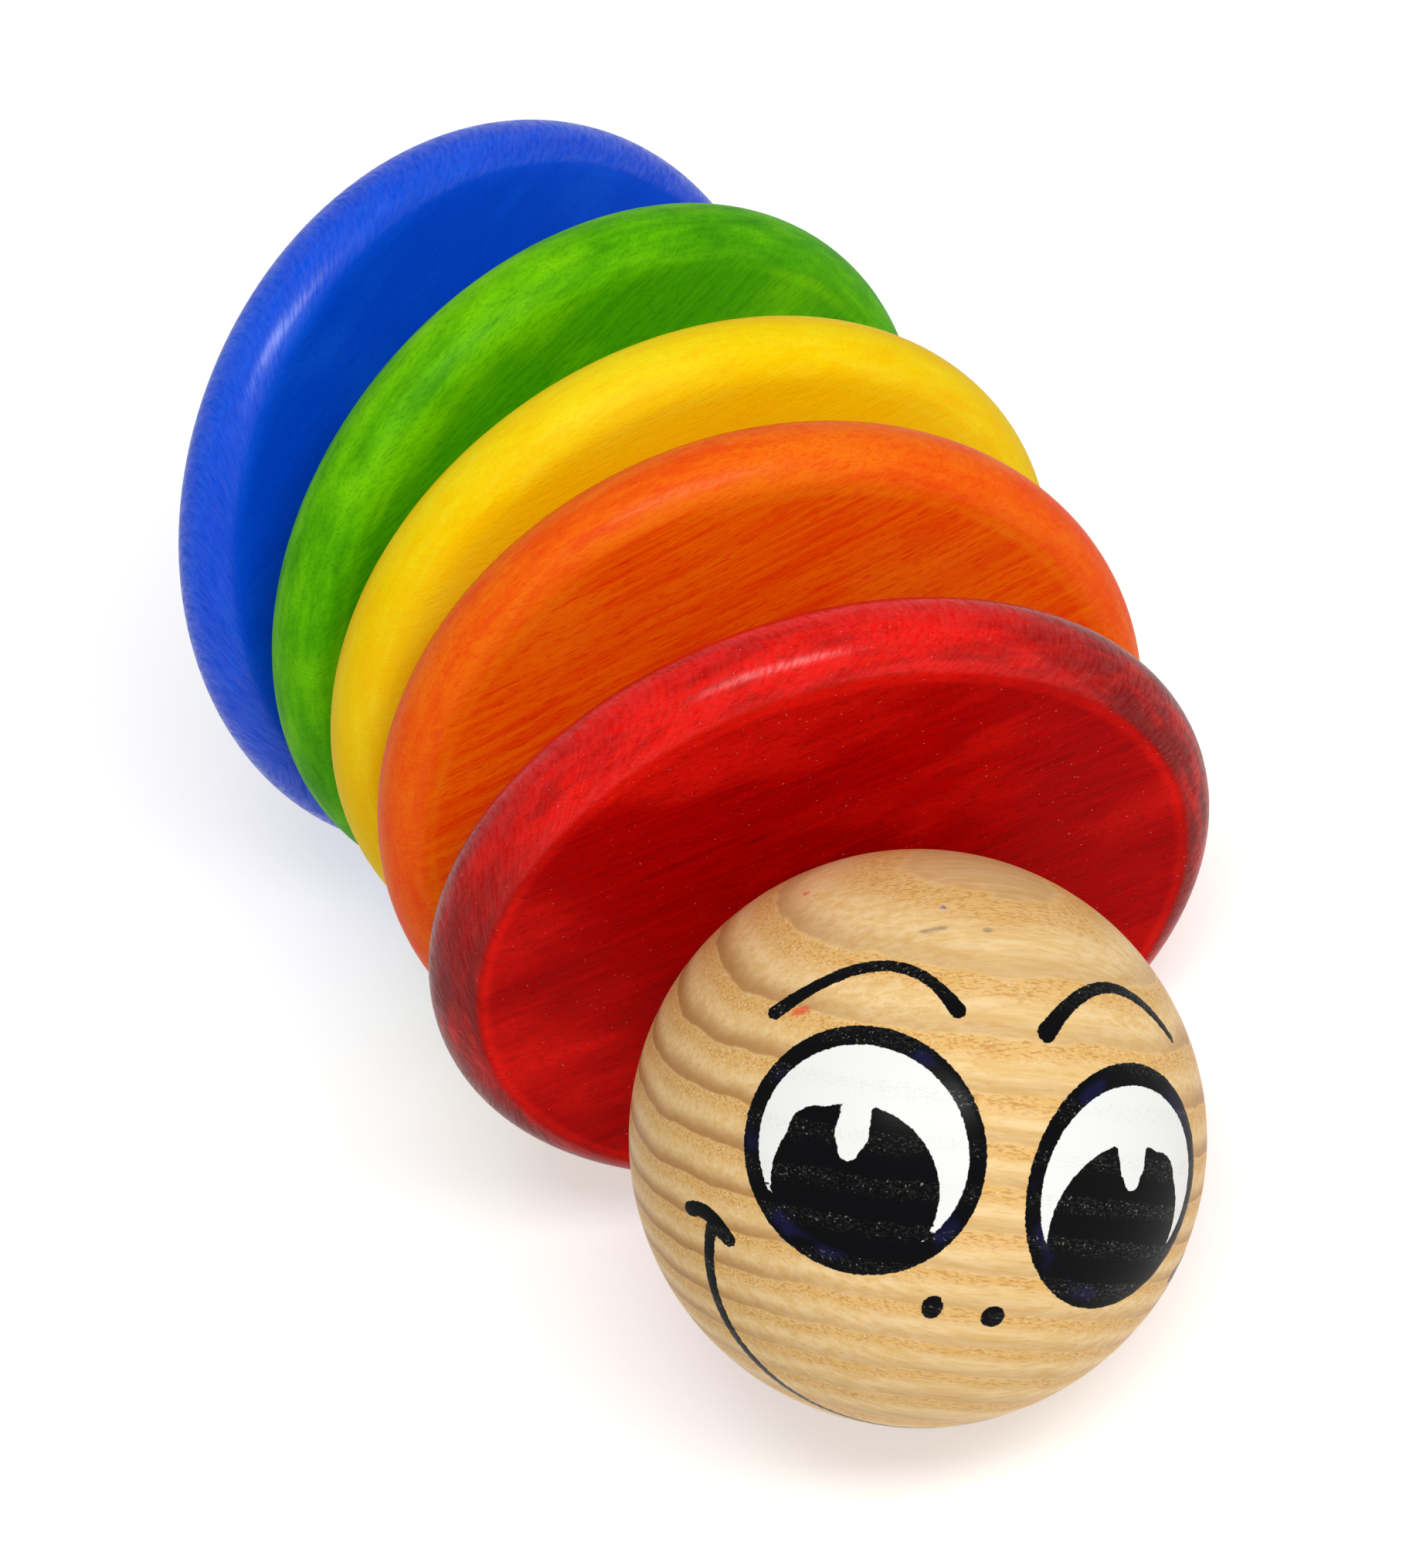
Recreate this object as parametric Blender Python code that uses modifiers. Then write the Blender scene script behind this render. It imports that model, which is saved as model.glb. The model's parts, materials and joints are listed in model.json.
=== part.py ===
"""Inchworm rattle: five stained wooden discs and a wooden ball head, strung on an elastic cord.

Metres, +Z up. The worm lies along Y with its head towards -Y, and its discs stand on Z = 0.
Every piece is turned about its own +Z, which points along the cord towards the head once it is placed.
The wooden beads sit in the discs' bores as ball joints, so neighbouring discs bend about a bead's centre.
"""

import math

import bpy
from mathutils import Vector

MM = 0.001

# Discs: flat faces and a full-round rim
DISC_DIAMETER = 58.0 * MM
DISC_THICKNESS = 6.7 * MM
DISC_BORE = 7.2 * MM

# Spacer beads, whose cord hole widens from the middle to both mouths so that the cord can bend
BEAD_DIAMETER = 10.0 * MM
BEAD_FLARE = math.radians(14.0)

# Head ball, and the dish that it sits in on the front of the red disc
HEAD_DIAMETER = 40.0 * MM
HEAD_SEAT_DIAMETER = 13.0 * MM

# Elastic cord, its front knot and the pegs that hold its two ends
CORD_DIAMETER = 2.5 * MM
KNOT_DIAMETER = 6.6 * MM
KNOT_LENGTH = 5.0 * MM
HEAD_PEG_LENGTH = 12.0 * MM
HEAD_PEG_DEPTH = 1.0 * MM

# Clearances
SEAT_GAP = 0.3 * MM
PEG_GAP = 0.3 * MM
KNOT_GAP = 0.3 * MM
CORD_GAP = 0.35 * MM
CORD_END_GAP = 0.15 * MM

# Resting pose. A bend is a share of the bend at which two neighbouring rims would touch.
TAIL_HEADING = math.radians(22.7)
TAIL_LEAN = math.radians(6.75)
BEND_SHARES = {
    "green": {"sideways": -0.588, "rise": -0.515},
    "yellow": {"sideways": -0.667, "rise": 0.071},
    "orange": {"sideways": -0.348, "rise": 0.304},
    "red": {"sideways": -0.255, "rise": -0.665},
}

# Facets of the turned pieces. With these counts a disc rests on a flat facet.
DISC_STEPS = 46
RIM_SEGMENTS = 9
HEAD_STEPS = 40
HEAD_SEGMENTS = 18
BEAD_STEPS = 24
BEAD_SEGMENTS = 8
SMALL_STEPS = 16
DOME_SEGMENTS = 3
DISH_SEGMENTS = 3

# Colours (sRGB) and roughness
FINISHES = {
    "blue": ((0.02, 0.22, 0.72), 0.38),
    "green": ((0.23, 0.58, 0.05), 0.42),
    "yellow": ((1.00, 0.80, 0.05), 0.42),
    "orange": ((0.96, 0.33, 0.02), 0.40),
    "red": ((0.66, 0.04, 0.03), 0.30),
    "head": ((0.90, 0.75, 0.54), 0.45),
    "bead": ((0.85, 0.70, 0.50), 0.50),
    "peg": ((0.80, 0.64, 0.44), 0.55),
    "cord": ((0.93, 0.92, 0.88), 0.80),
}

# Sizes worked out from the driving dimensions
DISC_RADIUS = DISC_DIAMETER / 2
RIM_RADIUS = DISC_THICKNESS / 2
FACE_RADIUS = DISC_RADIUS - RIM_RADIUS
BORE_RADIUS = DISC_BORE / 2
BEAD_RADIUS = BEAD_DIAMETER / 2
HEAD_RADIUS = HEAD_DIAMETER / 2
CORD_RADIUS = CORD_DIAMETER / 2
CORD_HOLE_RADIUS = CORD_RADIUS + CORD_GAP
HEAD_BORE_RADIUS = KNOT_DIAMETER / 2 + KNOT_GAP


def seat_distance(ball_radius, seat_radius):
    """Distance from a face to the centre of a ball that sits in a round seat on it."""
    return math.sqrt((ball_radius + SEAT_GAP) ** 2 - seat_radius**2)


BEAD_STANDOFF = seat_distance(BEAD_RADIUS, BORE_RADIUS)
HEAD_STANDOFF = seat_distance(HEAD_RADIUS, HEAD_SEAT_DIAMETER / 2)
HALF_PITCH = RIM_RADIUS + BEAD_STANDOFF
TOUCHING_BEND = 2 * (
    math.acos(RIM_RADIUS / math.hypot(HALF_PITCH, FACE_RADIUS)) - math.atan2(FACE_RADIUS, HALF_PITCH)
)
FACING_HEAD = (math.radians(90.0), 0.0, 0.0)


def clear_scene():
    for obj in list(bpy.data.objects):
        bpy.data.objects.remove(obj, do_unlink=True)


def new_collection(name):
    collection = bpy.data.collections.new(name)
    bpy.context.scene.collection.children.link(collection)
    return collection


def linear(channel):
    if channel <= 0.04045:
        return channel / 12.92
    return ((channel + 0.055) / 1.055) ** 2.4


def finish_material(name, finish):
    colour, roughness = FINISHES[finish]
    material = bpy.data.materials.new(name)
    material.use_nodes = True
    shader = material.node_tree.nodes["Principled BSDF"]
    shader.inputs["Base Color"].default_value = [linear(c) for c in colour] + [1.0]
    shader.inputs["Roughness"].default_value = roughness
    shader.inputs["Metallic"].default_value = 0.0
    return material


def arc(centre, radius, start, end, segments):
    """Points of an arc in the profile plane, angles in degrees from the radial direction."""
    points = []
    for i in range(segments + 1):
        angle = math.radians(start + (end - start) * i / segments)
        points.append((centre[0] + radius * math.cos(angle), centre[1] + radius * math.sin(angle)))
    return points


def turned(collection, name, profile, finish, steps, closed):
    """A solid turned from a profile of (radius, height) points that runs down its outer side.

    A closed profile goes round a bore. An open one starts and ends on the axis.
    """
    edges = [(i, i + 1) for i in range(len(profile) - 1)]
    if closed:
        edges.append((len(profile) - 1, 0))
    mesh = bpy.data.meshes.new(name)
    mesh.from_pydata([(radius, 0.0, height) for radius, height in profile], edges, [])
    obj = bpy.data.objects.new(name, mesh)
    collection.objects.link(obj)
    screw = obj.modifiers.new("turn", "SCREW")
    screw.axis = "Z"
    screw.angle = math.radians(360.0)
    screw.steps = steps
    screw.render_steps = steps
    screw.use_merge_vertices = True
    screw.merge_threshold = 0.00001
    screw.use_smooth_shade = True
    mesh.materials.append(finish_material(name, finish))
    return obj


def place(obj, parent, along=0.0):
    """Put a turned piece on a link, a distance along the cord from the link's own origin."""
    obj.parent = parent
    obj.location = (0.0, -along, 0.0)
    obj.rotation_euler = FACING_HEAD
    return obj


def link(collection, name, parent, along, rotation):
    """An empty on a joint, a distance along the cord from its parent link's origin."""
    empty = bpy.data.objects.new(name, None)
    empty.empty_display_size = BEAD_RADIUS
    collection.objects.link(empty)
    empty.parent = parent
    empty.location = (0.0, -along, 0.0)
    empty.rotation_euler = rotation
    return empty


def disc_profile(dished=False):
    """Section of a disc: face, full-round rim, back, bore. The dish seats the head ball."""
    seat = [(BORE_RADIUS, RIM_RADIUS)]
    if dished:
        ball = HEAD_RADIUS + SEAT_GAP
        centre = (0.0, RIM_RADIUS + HEAD_STANDOFF)
        inner = -math.degrees(math.acos(BORE_RADIUS / ball))
        outer = -math.degrees(math.acos(HEAD_SEAT_DIAMETER / 2 / ball))
        seat = arc(centre, ball, inner, outer, DISH_SEGMENTS)
    rim = arc((FACE_RADIUS, 0.0), RIM_RADIUS, 90.0, -90.0, RIM_SEGMENTS)
    return seat + rim + [(BORE_RADIUS, -RIM_RADIUS)]


def bead_profile():
    """Section of a bead: ball outside, cord hole that widens from its waist to both mouths."""
    slope = math.tan(BEAD_FLARE)
    a = 1.0 + slope**2
    b = CORD_HOLE_RADIUS * slope
    c = CORD_HOLE_RADIUS**2 - BEAD_RADIUS**2
    mouth_height = (-b + math.sqrt(b**2 - a * c)) / a
    mouth_angle = math.degrees(math.asin(mouth_height / BEAD_RADIUS))
    outside = arc((0.0, 0.0), BEAD_RADIUS, mouth_angle, -mouth_angle, BEAD_SEGMENTS)
    return outside + [(CORD_HOLE_RADIUS, 0.0)]


def head_profile(bore_depth):
    """Section of the head ball, from its front pole round to the bore in its rear."""
    mouth_height = -math.sqrt(HEAD_RADIUS**2 - HEAD_BORE_RADIUS**2)
    mouth_angle = math.degrees(math.asin(mouth_height / HEAD_RADIUS))
    outside = arc((0.0, 0.0), HEAD_RADIUS, 90.0, mouth_angle, HEAD_SEGMENTS)
    outside[0] = (0.0, HEAD_RADIUS)
    bottom = mouth_height + bore_depth
    return outside + [(HEAD_BORE_RADIUS, bottom), (0.0, bottom)]


def peg_profile(outer_radius, rear, front):
    return [
        (CORD_HOLE_RADIUS, front),
        (outer_radius, front),
        (outer_radius, rear),
        (CORD_HOLE_RADIUS, rear),
    ]


def domed(height, start, end):
    """Half of a cord end, as an arc that meets the axis at its pole."""
    rise = CORD_RADIUS if start + end > 0 else -CORD_RADIUS
    points = arc((0.0, height - rise), CORD_RADIUS, start, end, DOME_SEGMENTS)
    pole = 0 if abs(start) == 90.0 else -1
    points[pole] = (0.0, height)
    return points


def cord_profile(rear, front, flat_rear=False):
    tail = domed(rear, 0.0, -90.0)
    if flat_rear:
        tail = [(CORD_RADIUS, rear), (0.0, rear)]
    return domed(front, 90.0, 0.0) + tail


def knotted_cord_profile(rear, knot_rear):
    """The cord's front end: a stretch from its rear end up to a knot."""
    half = KNOT_LENGTH / 2
    middle = knot_rear + half
    knot = [
        (0.0, middle + half),
        (0.6 * KNOT_DIAMETER / 2, middle + 0.9 * half),
        (KNOT_DIAMETER / 2, middle + 0.35 * half),
        (KNOT_DIAMETER / 2, middle - 0.35 * half),
        (0.6 * KNOT_DIAMETER / 2, middle - 0.9 * half),
        (CORD_RADIUS, middle - half),
    ]
    return knot + domed(rear, 0.0, -90.0)


def make_tail(parts):
    """The blue disc, with the cord's rear end glued in a drilled peg in its bore."""
    tail = link(parts, "tail_link", None, 0.0, (-TAIL_LEAN, 0.0, TAIL_HEADING))
    disc = turned(parts, "blue_disc", disc_profile(), "blue", DISC_STEPS, True)
    place(disc, tail)
    peg_front = HALF_PITCH - BEAD_RADIUS - SEAT_GAP
    profile = peg_profile(BORE_RADIUS - PEG_GAP, -RIM_RADIUS, peg_front)
    place(turned(parts, "tail_peg", profile, "peg", SMALL_STEPS, True), tail)
    profile = cord_profile(-RIM_RADIUS, HALF_PITCH - CORD_END_GAP, flat_rear=True)
    place(turned(parts, "cord_blue", profile, "cord", SMALL_STEPS, False), tail)
    return tail


def make_segment(parts, colour, previous, joint_along, cord_front, dished=False):
    """One bead, the disc in front of it and the stretch of cord through that disc."""
    shares = BEND_SHARES[colour]
    sideways = shares["sideways"] * TOUCHING_BEND
    rise = shares["rise"] * TOUCHING_BEND
    turn = link(parts, colour + "_turn", previous, joint_along, (0.0, 0.0, sideways))
    place(turned(parts, colour + "_bead", bead_profile(), "bead", BEAD_STEPS, True), turn)
    tilt = link(parts, colour + "_link", turn, 0.0, (-rise, 0.0, 0.0))
    disc = turned(parts, colour + "_disc", disc_profile(dished), colour, DISC_STEPS, True)
    place(disc, tilt, HALF_PITCH)
    profile = cord_profile(CORD_END_GAP, cord_front)
    place(turned(parts, "cord_" + colour, profile, "cord", SMALL_STEPS, False), tilt)
    return tilt


def make_head(parts, red_link):
    """The head ball, with the cord's front knot held behind a drilled peg in its bore."""
    along = HALF_PITCH + RIM_RADIUS + HEAD_STANDOFF
    neck = link(parts, "neck_link", red_link, along, (0.0, 0.0, 0.0))
    mouth = -math.sqrt(HEAD_RADIUS**2 - HEAD_BORE_RADIUS**2)
    peg_rear = mouth + HEAD_PEG_DEPTH
    peg_front = peg_rear + HEAD_PEG_LENGTH
    knot_rear = peg_front + KNOT_GAP
    bore_depth = knot_rear + KNOT_LENGTH + KNOT_GAP - mouth
    place(turned(parts, "head_ball", head_profile(bore_depth), "head", HEAD_STEPS, False), neck)
    profile = peg_profile(HEAD_BORE_RADIUS - PEG_GAP, peg_rear, peg_front)
    place(turned(parts, "head_peg", profile, "peg", SMALL_STEPS, True), neck)
    profile = knotted_cord_profile(mouth + SEAT_GAP, knot_rear)
    place(turned(parts, "cord_head", profile, "cord", SMALL_STEPS, False), neck)


def level_facets(parts):
    """Spin each disc about its own axis until the facet that it stands on is level."""
    bpy.context.view_layer.update()
    for obj in parts.objects:
        if obj.name.endswith("_disc"):
            sideways = obj.matrix_world.col[0]
            upward = obj.matrix_world.col[1]
            obj.rotation_euler.y = -math.atan2(-sideways.z, upward.z)


def stand_on_origin(parts, tail):
    """Move the whole worm so that the middle of its box's underside is the origin."""
    bpy.context.view_layer.update()
    depsgraph = bpy.context.evaluated_depsgraph_get()
    corners = []
    for obj in parts.objects:
        if obj.type == "MESH":
            shape = obj.evaluated_get(depsgraph)
            corners += [obj.matrix_world @ vertex.co for vertex in shape.data.vertices]
    low = Vector([min(corner[i] for corner in corners) for i in range(3)])
    high = Vector([max(corner[i] for corner in corners) for i in range(3)])
    middle = (low + high) / 2
    tail.location -= Vector((middle.x, middle.y, low.z))
    bpy.context.view_layer.update()


def main():
    clear_scene()
    parts = new_collection("inchworm_rattle")
    tail = make_tail(parts)
    to_next_bead = 2 * HALF_PITCH - CORD_END_GAP
    green = make_segment(parts, "green", tail, HALF_PITCH, to_next_bead)
    yellow = make_segment(parts, "yellow", green, 2 * HALF_PITCH, to_next_bead)
    orange = make_segment(parts, "orange", yellow, 2 * HALF_PITCH, to_next_bead)
    to_head = HALF_PITCH + RIM_RADIUS + HEAD_STANDOFF - HEAD_RADIUS - SEAT_GAP
    red = make_segment(parts, "red", orange, 2 * HALF_PITCH, to_head, dished=True)
    make_head(parts, red)
    level_facets(parts)
    stand_on_origin(parts, tail)


main()
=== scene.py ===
# %% [markdown]
# # A wooden inchworm rattle
#
# The toy is a row of five stained wooden discs and a natural wooden ball, strung on an elastic cord.
# Its construction, sizes and joints are already packed as a frame of solids.
# The pieces could be measured again here, but loading that frame keeps one set of sizes for everything.
# Lengths are metres, +Z is up, the worm lies along Y and its head looks towards -Y.

# %% Load the frame
import json
import math

import bmesh
import bpy
import numpy as np
from mathutils import Matrix, Vector


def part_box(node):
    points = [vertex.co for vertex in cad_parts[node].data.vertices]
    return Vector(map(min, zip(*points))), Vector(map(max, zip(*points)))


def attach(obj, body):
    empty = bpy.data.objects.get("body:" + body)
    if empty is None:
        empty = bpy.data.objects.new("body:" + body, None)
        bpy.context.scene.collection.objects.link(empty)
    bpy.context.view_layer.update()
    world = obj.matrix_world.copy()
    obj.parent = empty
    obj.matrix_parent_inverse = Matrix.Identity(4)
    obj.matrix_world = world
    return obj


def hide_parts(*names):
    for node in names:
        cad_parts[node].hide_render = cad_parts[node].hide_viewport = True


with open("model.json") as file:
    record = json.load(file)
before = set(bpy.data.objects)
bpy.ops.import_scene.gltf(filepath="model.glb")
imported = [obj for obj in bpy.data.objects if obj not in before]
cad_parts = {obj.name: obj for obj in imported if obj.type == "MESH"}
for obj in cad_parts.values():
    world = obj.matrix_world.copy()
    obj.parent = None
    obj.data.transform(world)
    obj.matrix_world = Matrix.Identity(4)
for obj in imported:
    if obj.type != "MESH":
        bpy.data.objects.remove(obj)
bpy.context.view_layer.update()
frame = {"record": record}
MM = 0.001
JOINTS = {joint["name"]: joint for joint in frame["record"]["behaviour"]["joints"]}

# %% [markdown]
# ## Where the pieces are
#
# Every piece of the toy is turned on a lathe, so its place is one point and one axis.
# Both could be typed in, but the frame's joints already hold them and then agree with every motion:
# a disc turns about its spin joint, and a bead sits where two bends cross.
# The tail disc has no joint of its own, so its axis comes from the flat mount on its back.

# %% Places and axes
COLOURS = ["blue", "green", "yellow", "orange", "red"]
UP = Vector((0.0, 0.0, 1.0))


def box_middle(node):
    low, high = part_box(node)
    return (Vector(low) + Vector(high)) / 2


def joint_place(name):
    return Vector(JOINTS[name]["pos_m"]), Vector(JOINTS[name]["axis"]).normalized()


def facing(place, axis):
    """Matrix that puts a piece turned about +Z at a place, with +Z along the axis and X level."""
    level = UP.cross(axis).normalized()
    turn = Matrix((level, axis.cross(level), axis)).transposed().to_4x4()
    return Matrix.Translation(place) @ turn


tail_axis = -Vector(frame["record"]["mounts"][0]["axis"]).normalized()
DISC_PLACES = {"blue": facing(box_middle("blue_disc"), tail_axis)}
BEAD_PLACES = {}
for colour in COLOURS[1:]:
    DISC_PLACES[colour] = facing(*joint_place(colour + "_spin"))
    centre, sideways_axis = joint_place(colour + "_sideways")
    rise_axis = joint_place(colour + "_rise")[1]
    BEAD_PLACES[colour] = facing(centre, sideways_axis.cross(rise_axis))
HEAD_PLACE = facing(*joint_place("head_turn"))
HEAD_CENTRE = HEAD_PLACE.translation
print("head centre in mm:", [round(value / MM, 1) for value in HEAD_CENTRE])

# %% [markdown]
# ## The camera
#
# The photograph looks down at about 44 degrees through a long lens, and the camera leans to one side.
# A camera could be moved by hand until the picture fits.
# Its place, target and roll are written as numbers, so that the outlines fall where the photograph has them.

# %% Camera
IMAGE_HEIGHT = 2030
FOCAL_PIXELS = 8600.0
SENSOR = 36.0
NEAREST = 0.01
CAMERA_PLACE = Vector((-27.5, -347.6, 365.1)) * MM
CAMERA_TARGET = Vector((-3.46, -7.09, 37.65)) * MM
CAMERA_ROLL = math.radians(-27.13)


def put(name, data):
    """An object in the scene that holds the given data."""
    made = bpy.data.objects.new(name, data)
    bpy.context.scene.collection.objects.link(made)
    return made


camera_data = bpy.data.cameras.new("camera")
camera_data.sensor_width = SENSOR
camera_data.lens = FOCAL_PIXELS / IMAGE_HEIGHT * SENSOR
camera_data.clip_start = NEAREST
camera = put("camera", camera_data)
look = (CAMERA_TARGET - CAMERA_PLACE).to_track_quat("-Z", "Y").to_matrix().to_4x4()
camera.matrix_world = Matrix.Translation(CAMERA_PLACE) @ look @ Matrix.Rotation(CAMERA_ROLL, 4, "Z")
bpy.context.scene.camera = camera
print("lens in mm:", round(camera_data.lens, 1))

# %% [markdown]
# ## Building with nodes
#
# Blender builds a finish from nodes, small boxes that each do one sum and pass the result on.
# They could be wired up by hand in the shader editor.
# These helpers add them from the script, so that a finish reads as a list of steps and is the same each run.


# %% Node helpers
def add(tree, kind, inputs=None, **settings):
    """A node with its settings, and each input either linked to a socket or set on the socket itself."""
    made = tree.nodes.new(kind)
    for name, value in settings.items():
        setattr(made, name, value)
    for name, value in (inputs or {}).items():
        if isinstance(value, bpy.types.NodeSocket):
            tree.links.new(value, made.inputs[name])
        else:
            made.inputs[name].default_value = value
    return made


def maths(tree, operation, *values):
    return add(tree, "ShaderNodeMath", dict(enumerate(values)), operation=operation).outputs[0]


def vector_maths(tree, operation, *vectors, **named):
    """A sum of vectors. A length and a dot product come out as one number."""
    inputs = {**dict(enumerate(vectors)), **named}
    made = add(tree, "ShaderNodeVectorMath", inputs, operation=operation)
    return made.outputs["Value" if operation in ("LENGTH", "DOT_PRODUCT") else "Vector"]


def ramp(tree, value, band, start=0.0, end=1.0):
    """A smooth change from start to end while a value crosses a band."""
    inputs = {"Value": value, "From Min": band[0], "From Max": band[1], "To Min": start, "To Max": end}
    return add(tree, "ShaderNodeMapRange", inputs, interpolation_type="SMOOTHSTEP").outputs["Result"]


def empty_tree(owner):
    """The node tree of a material or a world, with nothing in it yet."""
    owner.use_nodes = True
    owner.node_tree.nodes.clear()
    return owner.node_tree


def object_position(tree):
    return add(tree, "ShaderNodeTexCoord").outputs["Object"]


print("helpers: node, sums, ramp")

# %% [markdown]
# ## The floor
#
# The toy stands on plain white paper that keeps its shadow. A curved studio backdrop would do the same.
# One flat sheet is enough, because it is lifted towards white on the rays that show the background.
# The lift grows with the distance, so that no horizon shows in low views, and it doesn't light the toy.

# %% Floor
FLOOR_SIZE = 6.0
FLOOR_WHITE = (0.93, 0.93, 0.93, 1.0)
NEAR_LIFT = 0.42
FAR_LIFT = 0.68
FAR_BAND = (0.30, 1.10)


def background_rays(tree):
    """1 on the rays that show the background: seen by the camera, in gloss and through glass."""
    rays = add(tree, "ShaderNodeLightPath").outputs
    shown = maths(tree, "MAXIMUM", rays["Is Camera Ray"], rays["Is Glossy Ray"])
    return maths(tree, "MAXIMUM", shown, rays["Is Transmission Ray"])


def paper_material():
    material = bpy.data.materials.new("pale_paper")
    tree = empty_tree(material)
    away = vector_maths(tree, "LENGTH", object_position(tree))
    whiteness = ramp(tree, away, FAR_BAND, NEAR_LIFT, FAR_LIFT)
    lift = maths(tree, "MULTIPLY", background_rays(tree), whiteness)
    diffuse = add(tree, "ShaderNodeBsdfDiffuse", {"Color": FLOOR_WHITE})
    glow = add(tree, "ShaderNodeEmission", {"Strength": lift})
    both = add(tree, "ShaderNodeAddShader", {0: diffuse.outputs[0], 1: glow.outputs[0]})
    add(tree, "ShaderNodeOutputMaterial", {"Surface": both.outputs[0]})
    return material


half = FLOOR_SIZE / 2
corners = [(-half, -half, 0.0), (half, -half, 0.0), (half, half, 0.0), (-half, half, 0.0)]
floor_mesh = bpy.data.meshes.new("floor")
floor_mesh.from_pydata(corners, [], [(0, 1, 2, 3)])
floor_mesh.materials.append(paper_material())
floor = put("floor", floor_mesh)
print("floor in m:", FLOOR_SIZE)

# %% [markdown]
# ## The light
#
# The photograph's light is soft and comes from near the camera, a little above it.
# Several lamps could stand round the toy. One wide soft lamp and an even white surround give a close look,
# at a level where the white of the eyes renders about as it is written and doesn't clip.

# %% Light
SOFTBOX_DIRECTION = (0.06, 0.26, 0.95)
SOFTBOX_DISTANCE = 0.75
SOFTBOX_SIZE = (0.44, 0.16)
SOFTBOX_POWER = 3.5
FILL_STRENGTH = 0.39
WORLD_WHITE = (1.0, 1.0, 1.0, 1.0)

softbox_data = bpy.data.lights.new("softbox", "AREA")
softbox_data.shape = "RECTANGLE"
softbox_data.size, softbox_data.size_y = SOFTBOX_SIZE
softbox_data.energy = SOFTBOX_POWER
softbox = put("softbox", softbox_data)
camera_turn = camera.matrix_world.to_3x3()
towards = (camera_turn @ Vector(SOFTBOX_DIRECTION)).normalized()
wide = camera_turn @ Vector((1.0, 0.0, 0.0))
wide = (wide - towards * wide.dot(towards)).normalized()
softbox_turn = Matrix((wide, towards.cross(wide), towards)).transposed().to_4x4()
softbox.matrix_world = Matrix.Translation(CAMERA_TARGET + towards * SOFTBOX_DISTANCE) @ softbox_turn
print("softbox at mm:", [round(value / MM) for value in softbox.matrix_world.translation])

world = bpy.data.worlds.new("studio")
bpy.context.scene.world = world
studio = empty_tree(world)
strength = maths(studio, "MULTIPLY_ADD", background_rays(studio), 1.0 - FILL_STRENGTH, FILL_STRENGTH)
sky = add(studio, "ShaderNodeBackground", {"Color": WORLD_WHITE, "Strength": strength})
add(studio, "ShaderNodeOutputWorld", {"Surface": sky.outputs[0]})
bpy.context.scene.view_settings.view_transform = "Standard"
print("fill strength:", FILL_STRENGTH)

# %% [markdown]
# ## Wood fibres, once for every piece
#
# Stain and oil leave the wood's own marks showing: long streaks, short flecks, broad mottling and pores.
# A picture of wood could be wrapped round each piece, but it would smear on the rounded rims.
# Noise that is stretched along the fibres runs through the solid instead, as the fibres do in real wood.
# Every wooden finish uses this one group of nodes. Its painted glints, pale specks that stand in for
# sparkling light, and its dust have no direction.

# %% Fibre group
FIBRE_LAYERS = {
    "Streak": dict(stretch=0.05, scale=1900.0, detail=5.0, roughness=0.65),
    "Fleck": dict(stretch=0.16, scale=3600.0, detail=2.0, roughness=0.5, band=(0.56, 0.70)),
    "Mottle": dict(stretch=0.45, scale=120.0, detail=3.0, roughness=0.55),
    "Pore": dict(stretch=0.25, scale=6500.0, detail=2.0, roughness=0.5, band=(0.50, 0.66)),
    # Painted glints: pale specks that stand in for light sparkling on the pores.
    "Painted Glint": dict(stretch=None, scale=5200.0, detail=1.0, roughness=0.5, band=(0.66, 0.74)),
    "Dust": dict(stretch=None, scale=5600.0, detail=0.0, roughness=0.5, band=(0.835, 0.87)),
}


def new_group(name, inputs, outputs, kind="ShaderNodeTree"):
    """A node group with named sockets of the given kinds, and the sockets of its two end nodes."""
    tree = bpy.data.node_groups.new(name, kind)
    for in_out, sockets in (("INPUT", inputs), ("OUTPUT", outputs)):
        for label, socket_kind in sockets.items():
            tree.interface.new_socket(label, in_out=in_out, socket_type="NodeSocket" + socket_kind)
    return tree, tree.nodes.new("NodeGroupInput").outputs, tree.nodes.new("NodeGroupOutput").inputs


def dot(tree, a, b):
    return vector_maths(tree, "DOT_PRODUCT", a, b)


def noise(tree, position, scale, detail, roughness):
    inputs = {"Vector": position, "Scale": scale, "Detail": detail, "Roughness": roughness}
    return add(tree, "ShaderNodeTexNoise", inputs).outputs["Fac"]


def fibre_group():
    inputs = dict.fromkeys(("Position", "Along", "Across"), "Vector")
    tree, given, result = new_group("wood_fibre", inputs, dict.fromkeys(FIBRE_LAYERS, "Float"))
    through = vector_maths(tree, "CROSS_PRODUCT", given["Along"], given["Across"])
    run = dot(tree, given["Position"], given["Along"])
    side = dot(tree, given["Position"], given["Across"])
    depth = dot(tree, given["Position"], through)
    for name, layer in FIBRE_LAYERS.items():
        place = given["Position"]
        if layer["stretch"]:
            short = maths(tree, "MULTIPLY", run, layer["stretch"])
            place = add(tree, "ShaderNodeCombineXYZ", {"X": short, "Y": side, "Z": depth}).outputs[0]
        value = noise(tree, place, layer["scale"], layer["detail"], layer["roughness"])
        if "band" in layer:
            value = ramp(tree, value, layer["band"])
        tree.links.new(value, result[name])
    return tree


FIBRE = fibre_group()
print("group:", FIBRE.name, list(FIBRE_LAYERS))
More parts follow.
